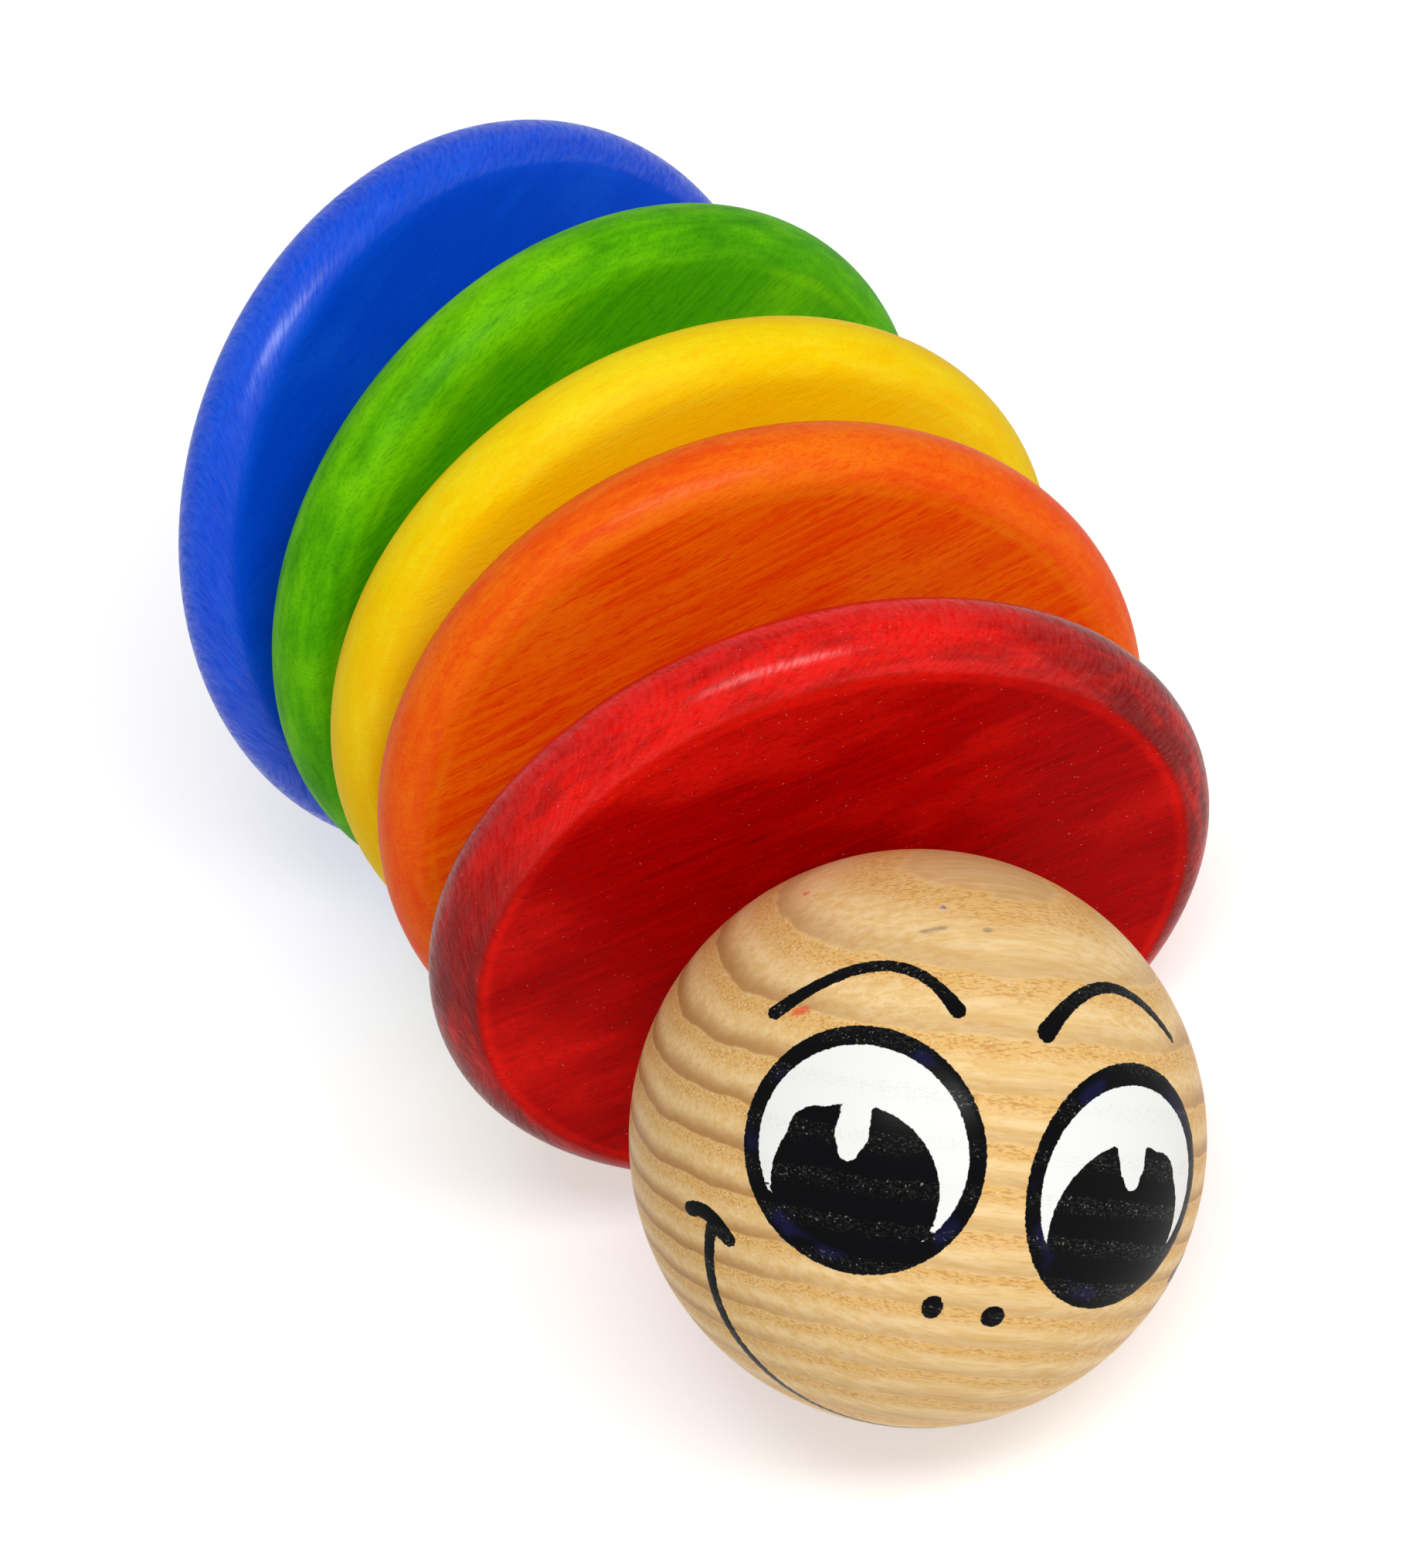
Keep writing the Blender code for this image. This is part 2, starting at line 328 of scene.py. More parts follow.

# %% [markdown]
# ## The rim of a disc
#
# On the rim and at the face's edge the stain is paler, partly worn and partly a painted highlight; the lathe
# leaves grooves and small chatter marks, and the fibres end twice.
# End grain drinks more stain, so it is darker there.
# Such places could be painted on by hand. This group finds them from the disc's own axis and fibres,
# so that all five discs share it.

# %% Rim group
RIM_BAND = (-0.02, 0.25)
END_BAND = (0.45, 0.98)
EDGE_SHIFT = 0.01
EDGE_BAND = (0.0, 0.20)
GROOVE = dict(run_share=0.22, scale=700.0)
CHATTER = dict(run_share=3.0, scale=1100.0)
LATHE_DETAIL = 4.0
LATHE_ROUGHNESS = 0.6


def rim_group():
    inputs = dict.fromkeys(("Position", "Centre", "Axis", "Along"), "Vector")
    inputs.update(dict.fromkeys(("Face Radius", "Rim Radius"), "Float"))
    outputs = dict.fromkeys(("Rim", "End", "Edge", "Groove", "Chatter"), "Float")
    tree, given, result = new_group("disc_rim", inputs, outputs)
    arm = vector_maths(tree, "SUBTRACT", given["Position"], given["Centre"])
    height = dot(tree, arm, given["Axis"])
    flat = vector_maths(tree, "SUBTRACT", arm, vector_maths(tree, "SCALE", given["Axis"], Scale=height))
    radius = vector_maths(tree, "LENGTH", flat)
    beyond = maths(tree, "SUBTRACT", radius, given["Face Radius"])
    beyond = maths(tree, "DIVIDE", beyond, given["Rim Radius"])
    rim = ramp(tree, beyond, RIM_BAND)
    outward = vector_maths(tree, "NORMALIZE", flat)
    forward = dot(tree, outward, given["Along"])
    ending = ramp(tree, maths(tree, "ABSOLUTE", forward), END_BAND)
    across = vector_maths(tree, "CROSS_PRODUCT", given["Axis"], given["Along"])
    turn = maths(tree, "ARCTAN2", dot(tree, outward, across), forward)
    run = maths(tree, "MULTIPLY", turn, radius)

    def lathe_noise(run_share, scale):
        length = maths(tree, "MULTIPLY", run, run_share)
        place = add(tree, "ShaderNodeCombineXYZ", {"X": length, "Y": height, "Z": radius}).outputs[0]
        shifted = vector_maths(tree, "ADD", place, given["Centre"])
        return noise(tree, shifted, scale, LATHE_DETAIL, LATHE_ROUGHNESS)

    near = maths(tree, "ABSOLUTE", maths(tree, "ADD", beyond, EDGE_SHIFT))
    tree.links.new(rim, result["Rim"])
    tree.links.new(maths(tree, "MULTIPLY", ending, rim), result["End"])
    tree.links.new(ramp(tree, near, EDGE_BAND, 1.0, 0.0), result["Edge"])
    tree.links.new(lathe_noise(**GROOVE), result["Groove"])
    tree.links.new(maths(tree, "MULTIPLY", lathe_noise(**CHATTER), rim), result["Chatter"])
    return tree


RIM = rim_group()
print("group:", RIM.name)

# %% [markdown]
# ## A lathe made of nodes
#
# The discs, beads and pegs are turned: one section is swept round an axis.
# The spin tool or a screw modifier could do that for one piece at a time.
# This Geometry Nodes tree takes any section, drawn as a closed line of (radius, height) points,
# and sweeps it round a vanishingly small circle, so one tree makes every turned piece.

# %% Turning tree
TINY_CIRCLE = 0.000001


def end_tree(tree, shape, finish, result):
    """The last nodes of a tree: smooth shading, real copies and the material."""
    smooth = add(tree, "GeometryNodeSetShadeSmooth", {"Geometry": shape})
    real = add(tree, "GeometryNodeRealizeInstances", {"Geometry": smooth.outputs[0]})
    finished = add(tree, "GeometryNodeSetMaterial", {"Geometry": real.outputs[0], "Material": finish})
    tree.links.new(finished.outputs[0], result)


def turning_tree():
    inputs = {"Section": "Geometry", "Steps": "Int", "Finish": "Material"}
    tree, given, result = new_group("turned_from_section", inputs, {"Solid": "Geometry"}, "GeometryNodeTree")
    section = add(tree, "GeometryNodeMeshToCurve", {"Mesh": given["Section"]}).outputs[0]
    sizes = {"Resolution": given["Steps"], "Radius": TINY_CIRCLE}
    circle = add(tree, "GeometryNodeCurvePrimitiveCircle", sizes).outputs[0]
    upright = add(tree, "GeometryNodeSetCurveNormal", {"Curve": circle}, mode="Z_UP").outputs[0]
    swept = add(tree, "GeometryNodeCurveToMesh", {"Curve": upright, "Profile Curve": section})
    end_tree(tree, swept.outputs[0], given["Finish"], result["Solid"])
    return tree


TURNING = turning_tree()
print("tree:", TURNING.name)

# %% [markdown]
# ### From a tree to a finished piece
#
# A tree stays live on its object, and the finished toy needs plain meshes.
# A modifier could be applied by hand. Here the evaluated mesh is copied, put in its place and merged
# along its seams, and the live object is removed.

# %% Finished pieces
SEAM = 0.002 * MM


def grown(name, mesh, tree, sizes, matrix):
    """The plain piece that a tree makes from a mesh and its named sizes, put in its place."""
    live = put(name + "_live", mesh)
    modifier = live.modifiers.new("tree", "NODES")
    modifier.node_group = tree
    for item in tree.interface.items_tree:
        if item.in_out == "INPUT" and item.name in sizes:
            modifier[item.identifier] = sizes[item.name]
    depsgraph = bpy.context.evaluated_depsgraph_get()
    made = bpy.data.meshes.new_from_object(live.evaluated_get(depsgraph))
    bpy.data.objects.remove(live)
    bpy.data.meshes.remove(mesh)
    made.transform(matrix)
    merged = bmesh.new()
    merged.from_mesh(made)
    bmesh.ops.remove_doubles(merged, verts=merged.verts, dist=SEAM)
    bmesh.ops.recalc_face_normals(merged, faces=merged.faces)
    merged.to_mesh(made)
    merged.free()
    made.name = name
    return put(name, made)


def turned(name, section, steps, material, matrix):
    """A piece turned from a closed section of (radius, height) points, put in its place."""
    count = len(section)
    mesh = bpy.data.meshes.new(name + "_section")
    points = [(radius, -height, 0.0) for radius, height in section]
    mesh.from_pydata(points, [(i, (i + 1) % count) for i in range(count)], [])
    return grown(name, mesh, TURNING, {"Steps": steps, "Finish": material}, matrix)


def arc(centre, radius, start, end, segments):
    """Points of an arc in a section, angles in degrees from the radial direction."""
    angles = [math.radians(start + (end - start) * i / segments) for i in range(segments + 1)]
    return [(centre[0] + radius * math.cos(a), centre[1] + radius * math.sin(a)) for a in angles]


def stand_for(piece, node, body):
    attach(piece, body)
    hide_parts(node)
    print(piece.name, "faces:", len(piece.data.polygons))


print("seam in mm:", SEAM / MM)

# %% [markdown]
# ## Five stains
#
# Every colour took the stain its own way: the red has the sharpest gloss, the orange the most flecks.
# Five materials could be drawn up one by one, but a single table is easier to compare and to correct.
# Face is the plain tone, deep and pale lie over it in the wood's marks, and end is the end grain's tone.
# The other values are shares of those marks, the gloss, and the fibres' angle from level in degrees. The
# rim's and the edge's pale shares are partly a painted highlight.

# %% Stain table
STAINS = {
    "blue": dict(
        face=(0.00, 0.30, 0.90), deep=(0.00, 0.22, 0.74), pale=(0.09, 0.43, 0.98), end=(0.00, 0.24, 0.83),
        streak=0.20, fleck=0.05, mottle=0.35, edge=0.10, marks=0.20, dust=0.00, rim_wear_and_highlight=0.15, end_share=0.40,
        rough=0.46, gloss=0.06, rim_coat=0.75, coat_rough=0.28, chatter=0.6, grain=5.0,
    ),
    "green": dict(
        face=(0.32, 0.71, 0.00), deep=(0.14, 0.46, 0.00), pale=(0.52, 0.86, 0.02), end=(0.26, 0.64, 0.00),
        streak=0.45, fleck=0.25, mottle=0.90, edge=0.50, marks=0.45, dust=0.00, rim_wear_and_highlight=0.15, end_share=0.45,
        rough=0.50, gloss=0.04, rim_coat=0.03, coat_rough=0.35, chatter=0.9, grain=8.0,
    ),
    "yellow": dict(
        face=(1.00, 0.88, 0.00), deep=(1.00, 0.75, 0.00), pale=(1.00, 0.94, 0.16), end=(0.98, 0.79, 0.00),
        streak=0.40, fleck=0.14, mottle=0.45, edge=0.25, marks=0.40, dust=0.00, rim_wear_and_highlight=0.00, end_share=0.45,
        rough=0.50, gloss=0.04, rim_coat=0.03, coat_rough=0.35, chatter=0.8, grain=-5.0,
    ),
    "orange": dict(
        face=(1.00, 0.42, 0.00), deep=(0.94, 0.17, 0.00), pale=(1.00, 0.51, 0.06), end=(0.98, 0.31, 0.00),
        streak=0.80, fleck=1.00, mottle=0.45, edge=0.55, marks=0.40, dust=0.15, rim_wear_and_highlight=0.36, end_share=0.45,
        rough=0.46, gloss=0.04, rim_coat=0.14, coat_rough=0.30, chatter=0.9, grain=0.5,
    ),
    "red": dict(
        face=(0.75, 0.00, 0.00), deep=(0.40, 0.00, 0.00), pale=(1.00, 0.11, 0.07), end=(0.42, 0.03, 0.02),
        streak=0.42, fleck=0.40, mottle=0.55, edge=0.45, marks=0.45, dust=0.50, rim_wear_and_highlight=0.66, end_share=0.85,
        rough=0.34, gloss=0.02, rim_coat=0.42, coat_rough=0.22, chatter=1.0, grain=-2.0,
    ),
}
print("stains:", list(STAINS))

# %% [markdown]
# ### Laying one tone over another
#
# A maker builds up a finish in thin layers, each let through more in some places than in others.
# The layers could be mixed into one picture beforehand.
# Here each layer is a mask and a tone over the colour before it, so it stays sharp from near and far.


# %% Layers of colour
def linear(colour):
    """A colour written in sRGB, as the linear values that shaders use."""
    values = [c / 12.92 if c <= 0.04045 else ((c + 0.055) / 1.055) ** 2.4 for c in colour]
    return (*values, 1.0)


def blend_colour(tree, factor, a, b):
    mixed = add(tree, "ShaderNodeMix", {"Factor": factor}, data_type="RGBA", blend_type="MIX")
    for name, value in (("A", a), ("B", b)):
        socket = [s for s in mixed.inputs if s.name == name and s.type == "RGBA"][0]
        if isinstance(value, bpy.types.NodeSocket):
            tree.links.new(value, socket)
        else:
            socket.default_value = value
    return [s for s in mixed.outputs if s.type == "RGBA"][0]


def tint(tree, base, tone, mask, share=1.0):
    """A tone laid over a colour, as strongly as a mask times a share."""
    return blend_colour(tree, maths(tree, "MULTIPLY", mask, share), base, linear(tone))


def new_material(name):
    """A material with its tree, its shader and the position that its patterns follow."""
    material = bpy.data.materials.new(name)
    tree = empty_tree(material)
    surface = add(tree, "ShaderNodeBsdfPrincipled")
    add(tree, "ShaderNodeOutputMaterial", {"Surface": surface.outputs[0]})
    return material, tree, surface, object_position(tree)


def dress(tree, surface, colour, relief, depth, strength):
    """Give a shader its colour, and a bump of a given depth from a relief."""
    tree.links.new(colour, surface.inputs["Base Color"])
    bump = add(tree, "ShaderNodeBump", {"Height": relief, "Distance": depth, "Strength": strength})
    tree.links.new(bump.outputs["Normal"], surface.inputs["Normal"])


print("white in linear values:", linear((1.0, 1.0, 1.0)))

# %% [markdown]
# ### The stain's finish
#
# Stain is a thin coat: deeper in streaks, pores and end grain, and paler on the rim and at the face's edge,
# partly worn and partly a painted highlight.
# A glossy varnish all over would hide that. The faces stay nearly matt, and only the rim,
# which hands polish, gets a clear coat that the chatter marks break up.

# %% Stain measures
DISC_RADIUS = 28.93 * MM
RIM_RADIUS = 3.35 * MM
RIM_DEPTH = 3.05 * MM
FACE_RADIUS = DISC_RADIUS - RIM_DEPTH
PATTERN_SHIFT = Vector((0.1, 0.2, 0.3))
DUST = (0.88, 0.62, 0.58)
STREAK_BAND = (0.30, 0.70)
MOTTLE_BAND = (0.46, 0.72)
DARK_GROOVE_BAND = (0.47, 0.72)
PALE_GROOVE_BAND = (0.53, 0.30)
# Band of the pale line at the face's edge, partly worn stain and partly a painted highlight.
WORN_EDGE_AND_HIGHLIGHT_BAND = (0.30, 0.62)
POLISH_BAND = (0.20, 0.74)
FLECK_SHARE = 0.6
PORE_SHARE = 0.28
ROUGH_SPREAD = 0.16
RELIEF = dict(streak=0.6, fleck=-0.35, pore=-0.25)
RELIEF_DEPTH = 0.05 * MM
STAIN_BUMP = 0.55
print("flat face in mm:", round(FACE_RADIUS / MM, 2))


# %% Stain layers
def grain_axes(place, angle):
    """Fibre directions of a disc: along its flat faces at an angle from level, and across them."""
    turn = place.to_3x3()
    along = turn @ Vector((math.cos(math.radians(angle)), math.sin(math.radians(angle)), 0.0))
    return along, turn @ UP


def stain_marks(tree, stain, fibre, rim):
    """The masks of a stain from the first layer to the last, each with its share and its tone."""
    dark_groove = maths(tree, "MULTIPLY", ramp(tree, rim["Groove"], DARK_GROOVE_BAND), rim["Rim"])
    pale_groove = maths(tree, "MULTIPLY", ramp(tree, rim["Groove"], PALE_GROOVE_BAND), rim["Rim"])
    worn_edge_and_highlight = maths(tree, "MULTIPLY", rim["Edge"], ramp(tree, fibre["Mottle"], WORN_EDGE_AND_HIGHLIGHT_BAND))
    return (
        (ramp(tree, fibre["Streak"], STREAK_BAND), stain["streak"], stain["deep"]),
        (ramp(tree, fibre["Mottle"], MOTTLE_BAND), stain["mottle"], stain["pale"]),
        (fibre["Fleck"], stain["fleck"] * FLECK_SHARE, stain["deep"]),
        # Paler rim: worn stain and a painted highlight.
        (rim["Rim"], stain["rim_wear_and_highlight"], stain["pale"]),
        (rim["End"], stain["end_share"], stain["end"]),
        (dark_groove, stain["marks"], stain["deep"]),
        (pale_groove, stain["marks"], stain["pale"]),
        # Pale line at the face's edge: worn stain and a painted highlight line.
        (worn_edge_and_highlight, stain["edge"], stain["pale"]),
        (fibre["Pore"], PORE_SHARE, stain["deep"]),
        (fibre["Dust"], stain["dust"], DUST),
    )


blue_fibres = grain_axes(DISC_PLACES["blue"], STAINS["blue"]["grain"])[0]
print("blue fibres run along:", [round(value, 2) for value in blue_fibres])


# %% Stain finish
def stain_material(colour):
    stain, place = STAINS[colour], DISC_PLACES[colour]
    along, axis = grain_axes(place, stain["grain"])
    material, tree, surface, position = new_material(colour + "_stain")
    shifted = vector_maths(tree, "ADD", position, PATTERN_SHIFT * COLOURS.index(colour))
    fibre_values = {"Position": shifted, "Along": along, "Across": axis}
    fibre = add(tree, "ShaderNodeGroup", fibre_values, node_tree=FIBRE).outputs
    rim_values = {"Position": position, "Centre": place.translation, "Axis": axis, "Along": along}
    rim_values.update({"Face Radius": FACE_RADIUS, "Rim Radius": RIM_RADIUS})
    rim = add(tree, "ShaderNodeGroup", rim_values, node_tree=RIM).outputs
    base = linear(stain["face"])
    for mask, share, tone in stain_marks(tree, stain, fibre, rim):
        base = tint(tree, base, tone, mask, share)
    rough_start = stain["rough"] - ROUGH_SPREAD / 2
    rough = maths(tree, "MULTIPLY_ADD", fibre["Streak"], ROUGH_SPREAD, rough_start)
    tree.links.new(rough, surface.inputs["Roughness"])
    coat = maths(tree, "MULTIPLY", ramp(tree, rim["Chatter"], POLISH_BAND), stain["rim_coat"])
    tree.links.new(coat, surface.inputs["Coat Weight"])
    surface.inputs["Coat Roughness"].default_value = stain["coat_rough"]
    surface.inputs["Specular IOR Level"].default_value = stain["gloss"]
    relief = maths(tree, "MULTIPLY", fibre["Streak"], RELIEF["streak"])
    for mark, share in (
        (fibre["Fleck"], RELIEF["fleck"]),
        (rim["Chatter"], stain["chatter"]),
        (fibre["Pore"], RELIEF["pore"]),
    ):
        relief = maths(tree, "ADD", relief, maths(tree, "MULTIPLY", mark, share))
    dress(tree, surface, base, relief, RELIEF_DEPTH, STAIN_BUMP)
    return material


DISC_FINISHES = {colour: stain_material(colour) for colour in COLOURS}
print("finishes:", [finish.name for finish in DISC_FINISHES.values()])

# %% [markdown]
# ### The discs' shape
#
# Each disc has flat faces and a rim turned nearly to a half circle, so nothing is sharp in a baby's hand.
# The front of the red disc is dished round its bore, where the ball sits.
# A bevelled cylinder would come close, but a section with its own arcs gives the rim and the dish exactly.

# %% Disc shapes
DISC_STEPS = 160
BORE_RADIUS = 3.6 * MM
BORE_EASE = 0.25 * MM
EASE_SEGMENTS = 4
DISH_RADIUS = 6.5 * MM
DISH_SEGMENTS = 10
BALL_SEAT = 20.3 * MM
FACE_START = DISH_RADIUS + 2 * MM
FACE_END = FACE_RADIUS - 0.4 * MM
FACE_POINTS = 8
RIM_ANGLE = 87.0
RIM_SEGMENTS = 28


def disc_section(dished):
    """Half section of a disc, from the front of its bore round the rim and back."""
    eased = BORE_RADIUS + BORE_EASE
    ease = arc((eased, RIM_RADIUS - BORE_EASE), BORE_EASE, 180.0, 90.0, EASE_SEGMENTS)
    if dished:
        standoff = RIM_RADIUS + math.sqrt(BALL_SEAT**2 - DISH_RADIUS**2)
        inner = -math.degrees(math.acos(BORE_RADIUS / BALL_SEAT))
        outer = -math.degrees(math.acos(DISH_RADIUS / BALL_SEAT))
        ease = arc((0.0, standoff), BALL_SEAT, inner, outer, DISH_SEGMENTS)
    face_radii = np.linspace(FACE_START, FACE_END, FACE_POINTS)
    front = [(radius, RIM_RADIUS) for radius in face_radii]
    half_circle = arc((0.0, 0.0), 1.0, RIM_ANGLE, -RIM_ANGLE, RIM_SEGMENTS)
    rim = [(FACE_RADIUS + RIM_DEPTH * x, RIM_RADIUS * y) for x, y in half_circle]
    back = [(radius, -RIM_RADIUS) for radius in reversed(face_radii)]
    rear_ease = arc((eased, BORE_EASE - RIM_RADIUS), BORE_EASE, 270.0, 180.0, EASE_SEGMENTS)
    return ease + front + rim + back + rear_ease


for colour in COLOURS:
    section = disc_section(dished=colour == "red")
    name = colour + "_wooden_disc"
    disc = turned(name, section, DISC_STEPS, DISC_FINISHES[colour], DISC_PLACES[colour])
    body = "tail" if colour == "blue" else colour + "_disc"
    stand_for(disc, colour + "_disc", body)

# %% [markdown]
# ## Year rings
#
# The ball is cut across the year rings of a ring-porous wood: porous bands with painted glints, and smooth
# ones.
# Rings could be drawn as stripes, but stripes don't close up on the crown as real ones do.
# Year rings are long cylinders round the middle of the trunk, so the distance from a far axis gives them.
# Where a ring lies flat to the ball's surface it makes the wide calm patch on the crown.

# %% Ring group
WOBBLE = dict(scale=140.0, detail=3.0, roughness=0.6)
WOBBLE_YEARS = 0.5
EARLY_START = (0.43, 0.50)
EARLY_END = (0.62, 0.98)
LATE_START = (-0.02, 0.40)
LATE_END = (0.42, 0.48)
END_GRAIN_BAND = (0.45, 0.90)


def ring_group():
    inputs = dict.fromkeys(("Position", "Centre", "Along", "Pith"), "Vector")
    inputs.update(dict.fromkeys(("Pith Distance", "Ring Width", "Narrowing"), "Float"))
    outputs = dict.fromkeys(("Early", "Late", "End Grain"), "Float")
    tree, given, result = new_group("year_rings", inputs, outputs)
    arm = vector_maths(tree, "SUBTRACT", given["Position"], given["Centre"])
    tangent = vector_maths(tree, "CROSS_PRODUCT", given["Along"], given["Pith"])
    inward = maths(tree, "SUBTRACT", dot(tree, arm, given["Pith"]), given["Pith Distance"])
    sideways = dot(tree, arm, tangent)
    squares = [maths(tree, "MULTIPLY", side, side) for side in (inward, sideways)]
    radius = maths(tree, "SQRT", maths(tree, "ADD", *squares))
    beyond = maths(tree, "SUBTRACT", radius, given["Pith Distance"])
    crowding = maths(tree, "MULTIPLY", maths(tree, "MULTIPLY", beyond, beyond), given["Narrowing"])
    years = maths(tree, "DIVIDE", maths(tree, "ADD", radius, crowding), given["Ring Width"])
    wobble = maths(tree, "SUBTRACT", noise(tree, arm, **WOBBLE), 0.5)
    years = maths(tree, "ADD", years, maths(tree, "MULTIPLY", wobble, WOBBLE_YEARS))
    phase = maths(tree, "FRACT", years)
    for name, start, end in (("Early", EARLY_START, EARLY_END), ("Late", LATE_START, LATE_END)):
        band = maths(tree, "MULTIPLY", ramp(tree, phase, start), ramp(tree, phase, end, 1.0, 0.0))
        tree.links.new(band, result[name])
    ending = dot(tree, vector_maths(tree, "NORMALIZE", arm), given["Along"])
    ending = ramp(tree, maths(tree, "ABSOLUTE", ending), END_GRAIN_BAND)
    tree.links.new(ending, result["End Grain"])
    return tree


RINGS = ring_group()
print("group:", RINGS.name)

# %% [markdown]
# ### Natural wood
#
# The head, the beads and the pegs are bare oiled wood. Each could have a finish of its own.
# One function lays early wood, late wood, pores and painted glints over each other for all of them,
# and every piece gives its own place, fibre direction and ring width.

# %% Wood tones
WOOD_PALE = (0.98, 0.85, 0.63)
WOOD_MIDDLE = (0.93, 0.77, 0.50)
WOOD_EARLY = (0.92, 0.71, 0.38)
WOOD_END = (0.80, 0.62, 0.38)
WOOD_LATE = (0.70, 0.49, 0.27)
WOOD_PORE = (0.76, 0.51, 0.22)
# A pale tone painted in as glints, where light would sparkle on the pores.
WOOD_PAINTED_GLINT = (1.00, 0.95, 0.82)
MIDDLE_BAND = (0.36, 0.66)
EARLY_SHARE = 0.6
END_SHARE = 0.15
LATE_SHARE = dict(end_grain=0.52, everywhere=0.34)
PAINTED_GLINT_SHARE = dict(end_grain=0.3, everywhere=0.5)
BARE_PORE_SHARE = 0.6
BARE_FLECK_SHARE = 0.18
OILED_ROUGH = dict(pores=0.15, everywhere=0.38)
STREAK_RELIEF = 0.4
WOOD_BUMP = 0.5
print("late wood's share on end grain:", round(sum(LATE_SHARE.values()), 2))


# %% Natural wood
def natural_wood(tree, position, growth):
    """Colour, roughness, relief, painted glints and pores of bare oiled wood, as sockets."""
    fibre_values = {"Position": position, "Along": growth["Along"], "Across": growth["Pith"]}
    fibre = add(tree, "ShaderNodeGroup", fibre_values, node_tree=FIBRE).outputs
    rings = add(tree, "ShaderNodeGroup", {"Position": position, **growth}, node_tree=RINGS).outputs
    end_grain = rings["End Grain"]
    late = maths(tree, "MULTIPLY_ADD", end_grain, LATE_SHARE["end_grain"], LATE_SHARE["everywhere"])
    painted_glint_strength = maths(tree, "MULTIPLY_ADD", end_grain, PAINTED_GLINT_SHARE["end_grain"], PAINTED_GLINT_SHARE["everywhere"])
    pores = maths(tree, "MULTIPLY", fibre["Pore"], rings["Early"])
    painted_glints = maths(tree, "MULTIPLY", fibre["Painted Glint"], rings["Early"])
    flecks = maths(tree, "MULTIPLY", fibre["Fleck"], BARE_FLECK_SHARE)
    marks = maths(tree, "MAXIMUM", maths(tree, "MULTIPLY", pores, BARE_PORE_SHARE), flecks)
    colour = tint(tree, linear(WOOD_PALE), WOOD_MIDDLE, ramp(tree, fibre["Streak"], MIDDLE_BAND))
    colour = tint(tree, colour, WOOD_EARLY, rings["Early"], EARLY_SHARE)
    colour = tint(tree, colour, WOOD_END, end_grain, END_SHARE)
    colour = tint(tree, colour, WOOD_LATE, rings["Late"], late)
    colour = tint(tree, colour, WOOD_PORE, marks)
    # Painted glints: pale specks on the early wood, stronger on end grain, in place of sparkling light.
    colour = tint(tree, colour, WOOD_PAINTED_GLINT, painted_glints, painted_glint_strength)
    rough = maths(tree, "MULTIPLY_ADD", pores, OILED_ROUGH["pores"], OILED_ROUGH["everywhere"])
    relief = maths(tree, "SUBTRACT", maths(tree, "MULTIPLY", fibre["Streak"], STREAK_RELIEF), pores)
    return colour, rough, relief, painted_glints, pores


def wood_material(name, centre, along, pith, pith_distance, ring_width):
    growth = {"Centre": centre, "Along": along, "Pith": pith}
    growth.update({"Pith Distance": pith_distance, "Ring Width": ring_width, "Narrowing": 0.0})
    material, tree, surface, position = new_material(name)
    colour, rough, relief = natural_wood(tree, position, growth)[:3]
    tree.links.new(rough, surface.inputs["Roughness"])
    dress(tree, surface, colour, relief, RELIEF_DEPTH, WOOD_BUMP)
    return material


print("nodes in the fibre and ring groups:", len(FIBRE.nodes), len(RINGS.nodes))

# %% [markdown]
# ## The painted face
#
# The face is brushed on in black and white: two big eyes, brows, nostrils and a wide smile.
# A flat picture could be projected on the ball, but its edges would blur.
# The face is drawn on a map of the ball instead, in degrees right and up from a point low between the eyes.

# %% Face measures
HEAD_RADIUS_MM = 20.0
HEAD_RADIUS = HEAD_RADIUS_MM * MM
MM_PER_DEGREE = HEAD_RADIUS_MM * math.pi / 180.0
FACE_FORWARD = Vector((-0.3338, -0.9427, -0.0017)).normalized()
FACE_UP = Vector((0.5373, -0.1917, 0.8213)).normalized()
FACE_SIDE = FACE_UP.cross(FACE_FORWARD)
MAP_TILT = math.radians(30.0)
MAP_CENTRE = FACE_FORWARD * math.cos(MAP_TILT) + FACE_UP * math.sin(MAP_TILT)
MAP_UP = FACE_UP * math.cos(MAP_TILT) - FACE_FORWARD * math.sin(MAP_TILT)
EYES = {
    "left": dict(
        centre=(-26.8, 11.8), ring=(24.7, 25.3), white=21.2, pupil=(-26.8, 4.2), pupil_size=16.8,
        lobe=(-35.6, 12.4), lobe_size=6.4,
        notch=((-28.7, 21.0), (-29.0, 14.7), (-29.1, 11.4)), notch_widths=(2.8, 3.4, 2.1),
    ),
    "right": dict(
        centre=(31.1, 10.6), ring=(24.5, 26.1), white=21.3, pupil=(30.4, 2.4), pupil_size=17.7,
        lobe=(38.6, 11.6), lobe_size=6.6,
        notch=((30.4, 21.0), (31.0, 15.6), (31.3, 12.6)), notch_widths=(4.4, 3.4, 2.1),
    ),
}
WHITE_UNDER_RING = 0.4
BROWS = (
    dict(arch=((-50.7, 36.0), (-28.4, 50.8), (-11.0, 43.2)), widths=(1.75, 1.35, 1.35, 1.9)),
    dict(arch=((8.5, 40.9), (27.6, 53.3), (48.7, 42.7)), widths=(2.1, 1.6, 1.2, 0.9)),
)
BROW_SHARES = (0.0, 0.15, 0.85, 1.0)
NOSTRILS = (((-6.4, -16.5), (2.1, 2.8)), ((6.0, -16.9), (2.5, 2.5)))
SMILE_CENTRE = (4.7, -16.0)
SMILE_SIZE = (59.3, 50.5)
